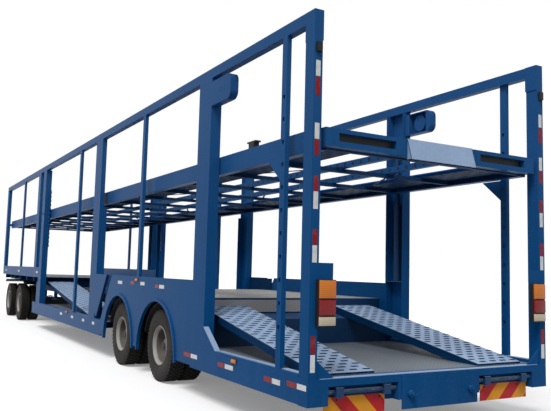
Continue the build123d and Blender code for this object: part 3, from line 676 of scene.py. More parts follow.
class CARRIER_OT_paint(bpy.types.Operator):
    """Mixes the finishes and gives every piece of the frame its own"""

    bl_idname = "carrier.paint"
    bl_label = "Paint the frame"

    def execute(self, context):
        paint = context.scene.carrier_paint
        recipes = {
            "blue_paint": (painted_steel, paint.blue, paint, 0.32),
            # Painted shade: the frame's blue made darker for parts that lie in shade, under the
            # decks, under the ramps and in the panels' gap
            "under_paint": (painted_steel, times(paint.blue, 0.42), paint, 0.5),
            "lip_paint": (painted_steel, (0.37, 0.365, 0.36), paint, 0.5),
            "deck_plate": (galvanised_ramp, paint.plate, paint),
            "floor_plate": (floor_plate, paint.floor, paint),
            "hump_plate": (floor_plate, (0.33, 0.33, 0.335), paint),
            "wheel_track": (slotted_track, paint.plate, paint, context.scene.carrier_ramps),
            "dark_steel": (bare_steel, paint.steel, 0.3),
            # Painted highlight: dark blue rods painted pale blue on top, where the light falls
            "worn_rod": (bare_steel, (0.010, 0.045, 0.120), 0.0, (0.36, 0.43, 0.52)),
            "marker_board": (striped_board, paint),
            "lamp_lens": (lamp_lens, paint.red),
            "red_lens": (lamp_lens, paint.red),
            "amber_lens": (lamp_lens, paint.amber),
            "clear_lens": (lamp_lens, paint.cream),
            "red_tape": (reflecting_strip, paint.red, paint),
            "white_tape": (reflecting_strip, paint.white, paint),
            "tyre_rubber": (tyre_rubber, paint),
            "rim_paint": (rusty_rim, paint),
        }
        for name, (recipe, *values) in recipes.items():
            finishes[name] = recipe(name, *values)
        for part in frame["record"]["subparts"]:
            materials = frame["nodes"][part["node"]].data.materials
            materials.clear()
            materials.append(finishes[special_finishes.get(part["node"], part["material_slot"])])
        return {"FINISHED"}


# Side wall of a tyre: share of the way from bead to tread, share of half its width
side_wall = ((0.0, 0.70), (0.04, 0.84), (0.22, 0.95), (0.48, 1.0), (0.70, 0.985),
             (0.86, 0.93), (0.95, 0.86), (1.0, 0.76))
# Tread: start and end as shares of half the width, share of a pitch that a lug fills, shift
tread_rows = ((-0.90, -0.52, 0.62, 0.0), (-0.46, -0.13, 0.74, 0.5), (-0.08, 0.08, 0.86, 0.0),
              (0.13, 0.46, 0.74, 0.5), (0.52, 0.90, 0.62, 0.0))
tyre_half = 0.1175
twin_centres = (-0.1375, 0.1375)
bead_radius = 0.2555
wheel_segments = 72
lug_root = 0.02
lug_taper = 0.0035
lug_spare = 0.0012


def tyre_mesh(wheels, radius):
    """Two tyres side by side, their lugs set round by the ring pattern."""
    tread = radius - wheels.lug_height
    half_wall = [(bead_radius + height * (tread - bead_radius), width * tyre_half)
                 for height, width in side_wall]
    pile = Pile()
    pitch = math.tau / wheels.pitches
    for start, end, fill, shift in tread_rows:
        half = fill * pitch * radius / 2
        verts = pile.block((-half, start * tyre_half, tread - lug_root),
                           (half, end * tyre_half, radius - lug_spare), lug_taper)
        pile.turn(verts, Matrix.Rotation(shift * pitch, 4, "Y"))
    lugs = pile.ring("tyre_rubber", wheels.pitches)
    twin = Pile()
    for centre in twin_centres:
        profile = [(r, centre - y) for r, y in half_wall]
        profile += [(r, centre + y) for r, y in reversed(half_wall)]
        twin.lathe(profile, wheel_segments, closed=True)
        twin.add(lugs, Matrix.Translation((0, centre, 0)))
    return twin.close("tyres")


# Dish and hub seen from outboard, then the outer wall of the twin rims, then the drum and
# hub seen from inboard: radius, place along the axle from the middle of the pair
rim_profile = ((0, 0.188), (0.034, 0.187), (0.052, 0.180), (0.060, 0.166), (0.078, 0.160),
               (0.086, 0.152), (0.090, 0.140), (0.094, 0.062), (0.108, 0.052),
               (0.112, 0.024), (0.150, 0.022), (0.163, 0.030), (0.186, 0.050),
               (0.207, 0.058), (0.219, 0.072), (0.226, 0.110), (0.228, 0.196),
               (0.240, 0.212), (0.250, 0.222), (0.256, 0.238), (0.264, 0.243),
               (0.268, 0.238), (0.258, 0.222), (0.2535, 0.214), (0.2535, 0.050),
               (0.262, 0.038), (0.262, -0.038), (0.2535, -0.050), (0.2535, -0.214),
               (0.258, -0.222), (0.268, -0.238), (0.264, -0.243), (0.256, -0.238),
               (0.240, -0.212), (0.228, -0.196), (0.226, -0.150), (0.206, -0.146),
               (0.206, -0.262), (0.198, -0.268), (0.110, -0.270), (0.104, -0.282), (0, -0.284))
# Ribs round the brake drum: places along the axle, profile of one about its place
rib_places = (-0.165, -0.195, -0.225)
rib_profile = ((0.207, -0.005), (0.214, -0.003), (0.214, 0.003), (0.207, 0.005))
# Washer, wheel nut and stud, then hub cap bolt: profile as for the rims, and corners
nut_layers = ((((0, 0.024), (0.020, 0.024), (0.020, 0.029), (0, 0.029)), 12),
              (((0, 0.028), (0.0165, 0.028), (0.0165, 0.046), (0.014, 0.050), (0, 0.050)), 6),
              (((0, 0.048), (0.009, 0.048), (0.009, 0.062), (0.007, 0.064), (0, 0.064)), 8))
cap_layers = ((((0, 0.156), (0.007, 0.156), (0.007, 0.163), (0, 0.163)), 6),)
nut_circle = 0.131
cap_circle = 0.0735
cap_bolts = 6
# Hand hole, a dark disc of painted shade: profile at a radius of one, its two half sizes, its place
# and lean in the disc
hole_profile = ((0, -0.004), (1, -0.004), (1, 0.0015), (0.9, 0.0022), (0, 0.0022))
hole_stretch = (0.024, 1, 0.015, 1)
hole_place = (0, 0.0405, 0.1755)
hole_lean = math.atan2(0.020, 0.023)


def rim_mesh():
    """Twin rims on their hub, with ribs round the brake drum."""
    pile = Pile()
    pile.lathe(rim_profile, wheel_segments)
    for place in rib_places:
        pile.lathe([(radius, place + along) for radius, along in rib_profile], 48, closed=True)
    return pile.close("rims")


def nut_mesh(wheels):
    """Wheel nuts with their studs, hub cap bolts, and the hand holes of the dish as dark discs of
    painted shade.
    """
    whole = Pile()
    for layers, circle, count in ((nut_layers, nut_circle, wheels.nuts),
                                  (cap_layers, cap_circle, cap_bolts)):
        pile = Pile()
        for profile, corners in layers:
            pile.lathe(profile, corners, centre=(0, 0, circle))
        whole.add(pile.ring("dark_steel", count))
    pile = Pile()
    pile.turn(pile.lathe(hole_profile, 20), Matrix.Translation(hole_place)
              @ Matrix.Rotation(hole_lean, 4, "X") @ Matrix.Diagonal(hole_stretch))
    whole.add(pile.ring("dark_steel", wheels.hand_holes))
    return whole.close("nuts")


class CARRIER_OT_wheels(bpy.types.Operator):
    """Makes one pair of twin wheels and sets it on all eight axle ends"""

    bl_idname = "carrier.wheels"
    bl_label = "Make the wheels"

    def execute(self, context):
        wheels = context.scene.carrier_wheels
        low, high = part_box("rear_one_left_tyres")
        meshes = (("tyres", tyre_mesh(wheels, (high.z - low.z) / 2), "tyre_rubber"),
                  ("rims", rim_mesh(), "rim_paint"),
                  ("nuts", nut_mesh(wheels), "dark_steel"))
        for row in wheel_rows:
            for side, sign in side_signs.items():
                low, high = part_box(f"{row}_{side}_tyres")
                place = Matrix.Translation((low + high) / 2)
                if sign < 0:
                    place = place @ Matrix.Rotation(math.pi, 4, "Z")
                for kind, mesh, finish in meshes:
                    pile = Pile()
                    pile.add(mesh, place)
                    stood_for = {"tyres": (f"{row}_{side}_tyres",),
                                 "rims": (f"{row}_{side}_hub",)}.get(kind, ())
                    pile.finish(f"{row}_{side}_{kind}_dressed", f"{row}_{side}_wheel", finish,
                                finish, *stood_for)
        return {"FINISHED"}


ramp_inner = 0.700
ramp_outer = 1.350
ramp_width = ramp_outer - ramp_inner
plate_thickness = 0.010
flange_depth = 0.090
foot_rise = 0.020
descent_length = 1.400
flat_between = 0.400
bar_pitch = 0.5
bar_thickness = 0.008
bar_depth = 0.045
least_bar_depth = 0.02
bar_clearance = 0.012
rim_corners = 12
rim_turn_in = 0.001
inside_depth = -0.001


def slotted_plate(pile, ramps, length):
    """A flat plate along X with open slots, its top at zero height. Gives the number of rows,
    the place of the first, the pitch across, and the first place across."""
    half = ramps.slot_length / 2
    first = ramps.rim + half
    pitch = (ramp_width - ramps.slot_length - 2 * ramps.rim) / (ramps.columns - 0.5)
    middles = [[first + pitch * (column + shift) for column in range(ramps.columns)]
               for shift in (0, 0.5)]
    cuts = sorted({0.0, ramp_width, *(m + d for row in middles for m in row for d in (-half, half))})
    rows = int(length / ramps.row_pitch)
    margin = (length - rows * ramps.row_pitch) / 2
    lines = [0.0]
    for row in range(rows):
        start = margin + row * ramps.row_pitch + (ramps.row_pitch - ramps.slot_width) / 2
        lines += [start, start + ramps.slot_width]
    lines.append(length)
    solid = {(i, j) for i in range(len(lines) - 1) for j in range(len(cuts) - 1)
             if i % 2 == 0 or all(abs((cuts[j] + cuts[j + 1]) / 2 - middle) >= half
                                  for middle in middles[i // 2 % 2])}
    levels = [[pile.loop([(x, y, z) for y in cuts]) for x in lines]
              for z in (0.0, -plate_thickness)]
    for i, j in sorted(solid):
        corners = ((i, j), (i + 1, j), (i + 1, j + 1), (i, j + 1))
        top, bottom = ([level[a][b] for a, b in corners] for level in levels)
        pile.mesh.faces.new(top)
        pile.mesh.faces.new(bottom[::-1])
        for k, beyond in enumerate(((i, j - 1), (i + 1, j), (i, j + 1), (i - 1, j))):
            if beyond not in solid:
                after = (k + 1) % 4
                pile.mesh.faces.new((bottom[k], bottom[after], top[after], top[k]))
    return rows, margin + ramps.row_pitch / 2, pitch, first


def slot_rim(ramps):
    """The raised edge of one slot: a rounded loop, up, over and down through the plate."""
    pile = Pile()
    half = (ramps.slot_length - ramps.slot_width) / 2
    angles = [math.tau * (index + 0.5) / rim_corners for index in range(rim_corners)]
    loops = []
    for grow, height in ((ramps.rim, 0.0), (ramps.rim * 0.45, ramps.rim * 0.8),
                         (0.0, ramps.rim * 0.7), (-rim_turn_in, -plate_thickness)):
        reach = ramps.slot_width / 2 + grow
        loops.append(pile.loop([(reach * math.cos(a), math.copysign(half, math.sin(a))
                                 + reach * math.sin(a), height) for a in angles]))
    pile.skin(loops)
    return pile


def ramp_track(pile, ramps, start, end, inner):
    """One sloping track from its rear end to its front end, at the given inner edge."""
    run, rise = end[0] - start[0], end[1] - start[1]
    flat = Pile()
    rows, along, pitch, across = slotted_plate(flat, ramps, math.hypot(run, rise))
    flat.add(slot_rim(ramps).copies(
        "grid", "deck_plate", Columns=ramps.columns, Rows=rows, Across=(0, pitch, 0),
        Along=(ramps.row_pitch, 0, 0), Stagger=(0, pitch / 2, 0), Origin=(along, across, 0.0),
        Turn=(0, 0, 0)))
    # Mark the slot walls, which the plate's material paints dark as shade
    flat.mark(inside_depth)
    pile.add(flat.close("flat_track"), Matrix.Translation((start[0], inner, start[1]))
             @ Matrix.Rotation(-math.atan2(rise, run), 4, "Y"))


def ramp_edges(pile, start, end, floor, inner):
    """Turned down edges and cross bars under one sloping track."""
    rise = (end[1] - start[1]) / (end[0] - start[0])
    low, high = sorted((start, end), key=lambda point: point[1])
    knee = low[0] + (floor + flange_depth - low[1]) / rise
    outline = ((low[0], low[1] - plate_thickness), (high[0], high[1] - plate_thickness),
               (high[0], high[1] - flange_depth), (knee, floor), (low[0], floor))
    for y in (inner, inner + ramp_width - plate_thickness):
        pile.prism(outline, y, y + plate_thickness)
    bars = int(abs(end[0] - start[0]) / bar_pitch)
    for index in range(1, bars):
        x = start[0] + (end[0] - start[0]) * index / bars
        z = start[1] + rise * (x - start[0]) - plate_thickness
        past = x + bar_thickness
        foot = z - min(bar_depth, z - floor - bar_clearance)
        if z - foot > least_bar_depth:
            pile.prism(((x, z), (past, z + rise * bar_thickness), (past, foot), (x, foot)),
                       inner + plate_thickness, inner + ramp_width - plate_thickness)


class CARRIER_OT_ramps(bpy.types.Operator):
    """Makes the slotted ramps behind the bogie and in the well"""

    bl_idname = "carrier.ramps"
    bl_label = "Make the ramps"

    def execute(self, context):
        ramps = context.scene.carrier_ramps
        low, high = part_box("rear_ramps")
        well_low, well_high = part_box("well_ramps")
        foot = low.z + foot_rise
        turn = well_low.x + descent_length
        runs = {"rear_ramps": (((low.x, foot), (high.x, high.z)),),
                "well_ramps": (((well_low.x, high.z), (turn, foot)),
                               ((turn + flat_between, foot), (well_high.x, well_high.z)))}
        for name, tracks in runs.items():
            plates = Pile()
            edges = Pile()
            for start, end in tracks:
                for inner in (ramp_inner, -ramp_outer):
                    ramp_track(plates, ramps, start, end, inner)
                    ramp_edges(edges, start, end, low.z, inner)
            plates.finish(f"{name}_plates", "trailer", "deck_plate", "deck_plate", name)
            # The turned down edges and bars under the ramps take the darker blue as painted shade
            edges.finish(f"{name}_edges", "trailer", "under_paint", "deck_plate", name)
        return {"FINISHED"}


# Tail lamp cluster: reach across, heights, and lowest and highest point of each lens
cluster_reach = (1.320, 1.510)
cluster_heights = (1.070, 1.490)
lens_rows = (("amber", 1.318, 1.486), ("red", 1.166, 1.312), ("clear", 1.075, 1.160))
lens_inset = 0.005
lens_root = 0.016
lens_rise = 0.018
lens_taper = 0.006
lens_seat = 0.019
lens_rounding = 0.003
case_seat = 0.020
case_rounding = 0.004
# Middle of each rear post, and the position lamp high on it: half width, depth, heights
post_middle = flank - 0.0475
position_half = 0.0275
position_depth = 0.030
position_heights = (3.590, 3.680)
# Side lamps: station and height of each, size of the lens, and of the foot round it
side_lamps = ((1.400, 0.5825), (4.7225, 1.370), (9.060, 0.6125))
side_lens = (0.100, 0.046, 0.0185)
side_lens_taper = 0.008
side_foot_margin = 0.012
side_foot_half = 0.034
side_foot_rise = 0.006


class CARRIER_OT_lamps(bpy.types.Operator):
    """Makes the tail lamp clusters, the position lamps and the side lamps"""

    bl_idname = "carrier.lamps"
    bl_label = "Make the lamps"

    def execute(self, context):
        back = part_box("lamps")[0].x
        cases = Pile()
        cases.blocks((back + case_seat, rear), cluster_reach, cluster_heights)
        cases.blocks((rear - position_depth, rear),
                     (post_middle - position_half, post_middle + position_half),
                     position_heights)
        lenses = {"amber": Pile(), "red": Pile(), "clear": Pile()}
        outward = Matrix(((0, 0, -1, back + lens_seat), (0, 1, 0, 0), (1, 0, 0, 0),
                          (0, 0, 0, 1)))
        for side in sides:
            near, far = span(side, *cluster_reach)
            for colour, low, high in lens_rows:
                verts = lenses[colour].block((low, near + lens_inset, -lens_root),
                                             (high, far - lens_inset, lens_rise), lens_taper)
                lenses[colour].turn(verts, outward)
        for station, height in side_lamps:
            x = rear + station
            cases.blocks((x - side_foot_margin, x + side_lens[0] + side_foot_margin),
                         (flank, flank + side_foot_rise),
                         (height - side_foot_half, height + side_foot_half))
            for side in sides:
                verts = lenses["amber"].block((0, 0, 0), side_lens, side_lens_taper)
                lenses["amber"].turn(verts, Matrix((
                    (1, 0, 0, x), (0, 0, side, side * flank),
                    (0, -side, 0, height + side * side_lens[1] / 2), (0, 0, 0, 1))))
        cases.smoothed(case_rounding)
        cases.finish("lamp_cases", "trailer", "dark_steel", "dark_steel", "lamps")
        for colour, pile in lenses.items():
            pile.smoothed(lens_rounding)
            pile.finish(f"{colour}_lenses", "trailer", f"{colour}_lens", "lamp_lens")
        return {"FINISHED"}


# Tape on the left rear post: colour, lowest and highest point. On the right post the upper
# pair hangs lower
post_tape = (("white", 3.36, 3.51), ("red", 3.18, 3.35), ("white", 2.77, 2.92),
             ("red", 2.62, 2.765), ("red", 2.29, 2.43), ("white", 2.125, 2.285),
             ("red", 1.80, 1.94), ("white", 1.64, 1.795), ("red", 0.83, 0.985),
             ("white", 0.665, 0.82))
upper_pair_height = 3.10
upper_pair_drop = 0.09
# Tape along the sides: colour, first and last station, height of its middle
side_tape = (("red", 2.64, 2.84, 0.505), ("white", 2.43, 2.62, 0.505),
             ("red", 1.69, 1.85, 0.505), ("white", 1.47, 1.67, 0.505),
             ("red", 0.646, 0.787, 0.505), ("white", 0.475, 0.63, 0.505),
             ("red", 0.19, 0.35, 0.525), ("white", 0.02, 0.175, 0.525),
             ("white", 9.52, 9.71, 0.545), ("white", 8.56, 8.73, 0.545),
             ("white", 7.71, 7.86, 0.545), ("white", 7.01, 7.15, 0.545),
             ("red", 4.90, 5.06, 1.320), ("white", 4.42, 4.60, 1.320),
             ("red", 3.85, 3.97, 1.300), ("white", 3.62, 3.81, 1.300),
             ("white", 5.49, 5.71, 1.310), ("white", 12.4, 12.56, 1.375),
             ("red", 12.57, 12.73, 1.375), ("white", 15.0, 15.16, 1.375),
             ("red", 15.17, 15.33, 1.375), ("white", 17.3, 17.46, 1.375))


class CARRIER_OT_tape(bpy.types.Operator):
    """Lays the red and white reflecting strips on the posts and along the sides"""

    bl_idname = "carrier.tape"
    bl_label = "Lay the strips"

    def execute(self, context):
        trim = context.scene.carrier_trim
        half = trim.tape_width / 2
        strips = {"red": Pile(), "white": Pile()}
        for side in sides:
            middle = side * post_middle
            for colour, low, high in post_tape:
                drop = upper_pair_drop if side < 0 and low > upper_pair_height else 0
                strips[colour].block((rear - trim.tape_rise, middle - half, low - drop),
                                     (rear + sunk, middle + half, high - drop))
        for colour, start, end, height in side_tape:
            strips[colour].blocks((rear + start, rear + end),
                                  (flank - sunk, flank + trim.tape_rise),
                                  (height - half, height + half))
        for colour, pile in strips.items():
            pile.finish(f"{colour}_strips", "trailer", f"{colour}_tape", "marker_board")
        return {"FINISHED"}


def hex_bolt(size):
    """A bolt head on its washer, standing up from zero height."""
    pile = Pile()
    pile.lathe(((0, -0.001), (size, -0.001), (size, size * 0.2), (0, size * 0.2)), 14, "Z")
    pile.lathe(((0, size * 0.19), (size * 0.78, size * 0.19), (size * 0.78, size * 0.75),
                (size * 0.62, size * 0.9), (0, size * 0.9)), 6, "Z")
    return pile


def round_hole(size):
    """A round hole, shown as a dark disc of painted shade in a thin raised lip."""
    pile = Pile()
    pile.lathe(((0, -0.001), (size, -0.001), (size, 0.0012), (size * 0.86, 0.002),
                (size * 0.8, 0.0008), (0, 0.0008)), 16, "Z")
    return pile


quarter = math.pi / 2
facing_turns = {"rear": (0, -quarter, 0), "left": (-quarter, 0, 0), "right": (quarter, 0, 0)}
outward_facing = {1: "left", -1: "right"}
# Bosses on the rear beam: profile of (radius, along), reach from the middle, height
boss_profile = ((0, 0.002), (0.036, 0.002), (0.036, -0.028), (0.030, -0.034),
                (0.017, -0.034), (0.017, -0.046), (0.013, -0.050), (0, -0.050))
boss_reach = 0.40
boss_height = 0.41
board_bolt = 0.009
board_bolt_reach = 0.70
board_bolt_step = 0.5
board_bolt_drop = 0.03
pin_bolt = 0.020
turntable_bolt = 0.016
turntable_bolts = 16
turntable_bolt_circle = 0.47
girder_hole = 0.022
girder_hole_height = 2.796
girder_inner = 0.300
girder_outer = 0.360


class CARRIER_OT_fixings(bpy.types.Operator):
    """Sets the bolts, nuts, pins and girder holes that show"""

    bl_idname = "carrier.fixings"
    bl_label = "Set the fixings"

    def execute(self, context):
        bosses = Pile()
        bolts = Pile()
        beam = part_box("rear_beam")[0]
        board_low, board_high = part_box("marker_boards")
        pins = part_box("deck_pins")
        pin = (pins[0] + pins[1]) / 2
        for side in sides:
            bosses.lathe(boss_profile, 24, "X", (beam.x, side * boss_reach, boss_height))
            bolts.add(hex_bolt(board_bolt).row(
                2, (board_low.x, side * board_bolt_reach, board_high.z - board_bolt_drop),
                (0, side * board_bolt_step, 0), "rear"))
            bolts.add(hex_bolt(pin_bolt).row(1, (pin.x, side * (flank - sunk), pin.z),
                                             (0, 0, 0), outward_facing[side]))
        bosses.finish("beam_bosses", "trailer", "blue_paint", "blue_paint")
        low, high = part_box("turntable_upper")
        bolt = hex_bolt(turntable_bolt)
        bolt.turn(bolt.mesh.verts, Matrix.Translation((turntable_bolt_circle, 0,
                                                       high.z - sunk / 2)))
        bolts.add(bolt.ring("dark_steel", turntable_bolts, (0, 0, 1),
                            ((low.x + high.x) / 2, 0, 0)))
        bolts.finish("trailer_bolts", "trailer", "dark_steel", "dark_steel")
        pitch = context.scene.carrier_trim.hole_pitch
        for name, body, node in (("bed_girder_holes", "bed", "bed_beams"),
                                 ("front_girder_holes", "trailer", "front_beams")):
            low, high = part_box(node)
            count = int((high.x - low.x) / pitch) - 1
            pile = Pile()
            for side in sides:
                for reach, way in ((girder_inner, -side), (girder_outer, side)):
                    # The girder holes are dark discs of painted shade
                    pile.add(round_hole(girder_hole).row(
                        count, (low.x + pitch, side * reach, girder_hole_height), (pitch, 0, 0),
                        outward_facing[way]))
            pile.finish(name, body, "dark_steel", "dark_steel")
        return {"FINISHED"}


# End flap of the bed: half its width, height of its top, its foot, its sheet and its cheeks
flap_half = 0.445
flap_top = 2.905
flap_foot = (rear - 0.060, 2.692)
flap_sheet = 0.006
flap_lean = 0.002
cheek_foot = (0.020, 0.004)
cheek_head = 0.007
# Flange on the foot of each main post, from the post's rear corner on the rail
flange_outline = ((-0.330, 0.0), (0.0, 0.237), (0.0, 0.247), (-0.342, 0.0))
flange_width = 0.064
# Face of the hump behind the bogie: pale strip on it, and the slope at its foot
hump_gap = 0.010
lip_low = (-0.0015, -0.21, 1.005)
lip_high = (0.001, 1.30, 1.165)
slope_station = 2.565
slope_heights = (0.928, 0.990)
slope_sheet = 0.008
slope_half = 1.480
# Pale strips on the floor's edges, a painted highlight on the rails' tops: runs along the rails,
# reach in from the flank
strip_runs = ((0.150, 0.488), (0.582, 1.925))
strip_reach = (0.086, 0.022)
strip_sheet = 0.006
beam_strip = ((0.004, 0.070), 1.440, 0.005)
# Dark sheets of painted shade in the bed's end slots, and in the panels' slanted gap
shade_in_slots = ((0.062, 0.054), (0.560, 1.300), (2.765, 2.875))
shade_in_gap = ((0.900, 0.010), (0.044, 0.032), (0.330, 0.012))
# Chain rest on the bed: station, reach in from the beam's face, and its block and cap as
# half length, lowest and highest point
rest_station = 1.500
rest_reach = (0.075, 0.005)
rest_rounding = 0.003
rest_blocks = ((0.060, 0.0, 0.062), (0.100, 0.062, 0.078))


class CARRIER_OT_fittings(bpy.types.Operator):
    """Adds the bed's end flap, the flanges and the small plates that show"""

    bl_idname = "carrier.fittings"
    bl_label = "Add the fittings"

    def execute(self, context):
        piles = {}
        for name, body, finish, slot in (
                ("bed_end_flap", "bed", "deck_plate", "deck_plate"),
                ("foot_flanges", "trailer", "deck_plate", "deck_plate"),
                ("deck_lip_strip", "trailer", "lip_paint", "deck_plate"),
                ("hump_slope", "trailer", "blue_paint", "blue_paint"),
                ("floor_edge_strips", "trailer", "deck_plate", "deck_plate"),
                ("end_slot_backing", "bed", "dark_steel", "dark_steel"),
                ("chain_rest", "bed", "dark_steel", "dark_steel"),
                ("panel_gap_backing", "trailer", "under_paint", "blue_paint")):
            piles[name] = Pile()
            getattr(self, name)(piles[name])
            piles[name].finish(name, body, finish, slot)
        return {"FINISHED"}

    def bed_end_flap(self, pile):
        x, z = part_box("bed_end_beam")[0].x + sunk, flap_top
        foot_x, foot_z = flap_foot
        pile.prism(((x, z), flap_foot, (foot_x + flap_sheet, foot_z - flap_lean),
                    (x + flap_sheet, z)), -flap_half, flap_half)
        pile.prisms(((x, z), flap_foot, (foot_x + cheek_foot[0], foot_z + cheek_foot[1]),
                     (x + cheek_head, foot_z)),
                    flap_half - flap_sheet, flap_half)

    # Painted highlight: the flanges take the pale plate finish, standing in for the light that falls
    # on them
    def foot_flanges(self, pile):
        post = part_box("main_posts")[0]
        pile.prisms([(post.x + x, post.z + z) for x, z in flange_outline],
                    flank - flange_width, flank)

    def deck_lip_strip(self, pile):
        face = Vector((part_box("rear_ramps")[1].x + hump_gap, 0, 0))
        pile.block(face + Vector(lip_low), face + Vector(lip_high))

    def hump_slope(self, pile):
        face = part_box("rear_ramps")[1].x + hump_gap
        foot = rear + slope_station
        low, high = slope_heights
        pile.prism(((foot, low), (face, high), (face, high - slope_sheet),
                    (foot, low - slope_sheet)), -slope_half, slope_half)

    def floor_edge_strips(self, pile):
        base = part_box("main_posts")[0].z
        for first, last in strip_runs:
            pile.blocks((rear + first, rear + last), [flank - reach for reach in strip_reach],
                        (base, base + strip_sheet))
        # A pale strip along the rear beam's top, also a painted highlight
        (first, last), half, sheet = beam_strip
        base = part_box("rear_beam")[1].z
        pile.block((rear + first, -half, base), (rear + last, half, base + sheet))

    # A dark steel sheet in each end slot of the bed, as painted shade
    def end_slot_backing(self, pile):
        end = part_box("bed_end_beam")[1].x
        depths, reaches, heights = shade_in_slots
        pile.blocks([end - depth for depth in depths], reaches, heights)

    def chain_rest(self, pile):
        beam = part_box("bed_beams")[1]
        middle = rear + rest_station
        for half, low, high in rest_blocks:
            pile.block((middle - half, beam.y - rest_reach[0], beam.z + low),
                       (middle + half, beam.y - rest_reach[1], beam.z + high))
        pile.smoothed(rest_rounding)

    # A dark blue sheet in the panels' slanted gap, as painted shade
    def panel_gap_backing(self, pile):
        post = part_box("wide_posts")[0].x
        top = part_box("bogie_panels")[1].z
        lengths, depths, drops = shade_in_gap
        pile.blocks([post - length for length in lengths], [flank - depth for depth in depths],
                    [top - drop for drop in drops])


guard_radius = 0.572
guard_sheet = 0.006
guard_start = math.radians(14)
guard_steps = 24
guard_overhang = (0.015, 0.012)
deck_sheet = 0.008
stay_half = 0.025
stay_inset = 0.020


class CARRIER_OT_guards(bpy.types.Operator):
    """Bends the dark mudguards over the bogie's wheels and hangs them from the deck"""

    bl_idname = "carrier.guards"
    bl_label = "Hang the mudguards"

    def execute(self, context):
        pile = Pile()
        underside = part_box("bogie_deck")[1].z - deck_sheet
        sweep = math.pi - 2 * guard_start
        for row in wheel_rows[:2]:
            low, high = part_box(f"{row}_left_tyres")
            centre = (low + high) / 2
            for side in sides:
                near, far = span(side, low.y - guard_overhang[0], high.y + guard_overhang[1])
                loops = []
                for step in range(guard_steps + 1):
                    angle = guard_start + sweep * step / guard_steps
                    loops.append(pile.loop([
                        (centre.x + radius * math.cos(angle), y,
                         centre.z + radius * math.sin(angle))
                        for radius, y in ((guard_radius, near), (guard_radius, far),
                                          (guard_radius + guard_sheet, far),
                                          (guard_radius + guard_sheet, near))]))
                pile.skin(loops, True)
                pile.block((centre.x - stay_half, near + stay_inset, centre.z + guard_radius),
                           (centre.x + stay_half, far - stay_inset, underside))
        pile.finish("bogie_mudguards", "trailer", "dark_steel", "dark_steel")
        return {"FINISHED"}


# U bolts over each spring: reach of their legs past its outer face, distance before and
# behind the axle, radius of the bar, its bend, and heights from the axle
clamp_reach = (-0.094, 0.014)
clamp_shift = 0.095
clamp_radius = 0.009
clamp_bend = 0.02
clamp_top = 0.190
clamp_foot = -0.115
clamp_nut = ((0, -0.112), (0.016, -0.112), (0.016, -0.092), (0, -0.092))
clamp_plate = (0.125, 0.02, -0.092, -0.076)


class CARRIER_OT_springs(bpy.types.Operator):
    """Clamps the leaf packs to the axles with U bolts"""

    bl_idname = "carrier.springs"
    bl_label = "Clamp the springs"

    def execute(self, context):
        for body, node, rows in (("trailer", "rear_springs", wheel_rows[:2]),
                                 ("dolly", "dolly_springs", wheel_rows[2:])):
            pile = Pile()
            near, far = (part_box(node)[1].y + reach for reach in clamp_reach)
            for row in rows:
                low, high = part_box(f"{row}_left_tyres")
                axle = (low + high) / 2
                top = axle.z + clamp_top
                foot = axle.z + clamp_foot
                for x in (axle.x - clamp_shift, axle.x + clamp_shift):
                    for side in sides:
                        pile.tube([(x, side * y, z) for y, z in (
                            (near, foot), (near, top - clamp_bend), (near + clamp_bend, top),
                            (far - clamp_bend, top), (far, top - clamp_bend), (far, foot))],
                            clamp_radius)
                        for y in (near, far):
                            pile.lathe(clamp_nut, 6, "Z", (x, side * y, axle.z))
                half, margin, under, over = clamp_plate
                pile.blocks((axle.x - half, axle.x + half), (near - margin, far + margin),
                            (axle.z + under, axle.z + over))
            pile.finish(f"{node}_clamps", body, "dark_steel", "dark_steel")
        return {"FINISHED"}


floor_size = 400
floor_dim = 0.28
floor_lift = (0.22, 0.22, 0.22)
sky_strength = 0.55
key_strength = 2.0
key_spread = 0.4
key_way = (4.5, -5.5, -10)
view_yaw = 0.5214
view_pitch = 0.0966
view_roll = 0.0257
view_reach = 500


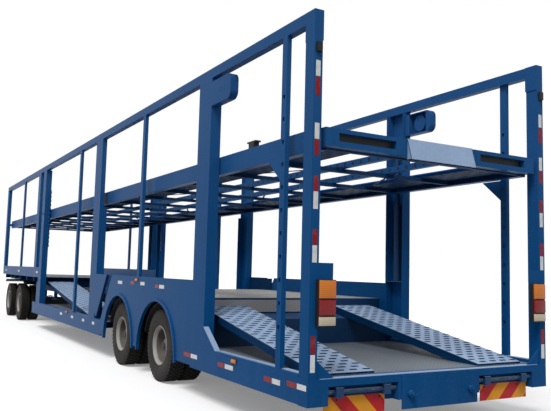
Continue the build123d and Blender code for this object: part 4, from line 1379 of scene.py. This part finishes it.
class CARRIER_OT_stage(bpy.types.Operator):
    """Makes the floor, the lights and the camera"""

    bl_idname = "carrier.stage"
    bl_label = "Set the stage"

    def execute(self, context):
        stage = context.scene.carrier_stage
        bpy.ops.mesh.primitive_plane_add(size=floor_size)
        floor = context.object
        floor.name = "floor"
        shader = Shader("floor")
        seen = shader.seen()
        floor.data.materials.append(shader.finish(
            Base_Color=shader.mix(seen, times(stage.floor, floor_dim), stage.floor),
            Emission_Color=shader.mix(seen, (0, 0, 0), floor_lift), Emission_Strength=1.0,
            Roughness=0.9, Specular_IOR_Level=0.0))
        world = bpy.data.worlds.new("studio")
        world.use_nodes = True
        context.scene.world = world
        sky = Tree(world.node_tree)
        lit = world.node_tree.nodes["Background"]
        lit.inputs["Color"].default_value = (1, 1, 1, 1)
        lit.inputs["Strength"].default_value = sky_strength
        shown = sky.node("ShaderNodeBackground", {}, Color=(1, 1, 1), Strength=1.0)
        mixed = sky.node("ShaderNodeMixShader", {}, sky.seen(), Field(sky, lit.outputs[0]), shown)
        output = world.node_tree.nodes["World Output"]
        world.node_tree.links.new(mixed.socket, output.inputs[0])
        key = bpy.data.lights.new("key", "SUN")
        key.energy = key_strength
        key.angle = key_spread
        lamp = bpy.data.objects.new("key", key)
        lamp.rotation_euler = Vector(key_way).to_track_quat("-Z", "Y").to_euler()
        context.collection.objects.link(lamp)
        level = math.cos(view_pitch)
        ahead = Vector((level * math.cos(view_yaw), -level * math.sin(view_yaw),
                        math.sin(view_pitch)))
        right = ahead.cross(Vector((0, 0, 1))).normalized()
        up = right.cross(ahead)
        turned = math.cos(view_roll) * right + math.sin(view_roll) * up
        upright = -math.sin(view_roll) * right + math.cos(view_roll) * up
        data = bpy.data.cameras.new("camera")
        data.lens = stage.lens
        data.clip_end = view_reach
        camera = bpy.data.objects.new("camera", data)
        camera.matrix_world = Matrix.Translation(stage.place) @ Matrix(
            (turned, upright, -ahead)).transposed().to_4x4()
        context.collection.objects.link(camera)
        context.scene.camera = camera
        context.scene.view_settings.view_transform = "Standard"
        return {"FINISHED"}


class CARRIER_PT_panel(bpy.types.Panel):
    """Lists the steps that dress the trailer"""

    bl_idname = "CARRIER_PT_panel"
    bl_label = "Car carrier trailer"
    bl_space_type = "VIEW_3D"
    bl_region_type = "UI"
    bl_category = "Carrier"

    def draw(self, context):
        for step in steps:
            self.layout.operator(step.bl_idname)


steps = (CARRIER_OT_paint, CARRIER_OT_wheels, CARRIER_OT_ramps, CARRIER_OT_lamps,
         CARRIER_OT_tape, CARRIER_OT_fixings, CARRIER_OT_fittings, CARRIER_OT_guards,
         CARRIER_OT_springs, CARRIER_OT_stage)
groups = {"carrier_paint": CarrierPaint, "carrier_wheels": CarrierWheels,
          "carrier_ramps": CarrierRamps, "carrier_trim": CarrierTrim,
          "carrier_stage": CarrierStage}


def register():
    for group in groups.values():
        bpy.utils.register_class(group)
    for name, group in groups.items():
        setattr(bpy.types.Scene, name, PointerProperty(type=group))
    for step in (*steps, CARRIER_PT_panel):
        bpy.utils.register_class(step)


def unregister():
    for step in (CARRIER_PT_panel, *reversed(steps)):
        bpy.utils.unregister_class(step)
    for name, group in groups.items():
        delattr(bpy.types.Scene, name)
        bpy.utils.unregister_class(group)


def main():
    register()
    bpy.ops.carrier.paint()
    bpy.ops.carrier.wheels()
    bpy.ops.carrier.ramps()
    bpy.ops.carrier.lamps()
    bpy.ops.carrier.tape()
    bpy.ops.carrier.fixings()
    bpy.ops.carrier.fittings()
    bpy.ops.carrier.guards()
    bpy.ops.carrier.springs()
    bpy.ops.carrier.stage()


if __name__ == "__main__":
    main()
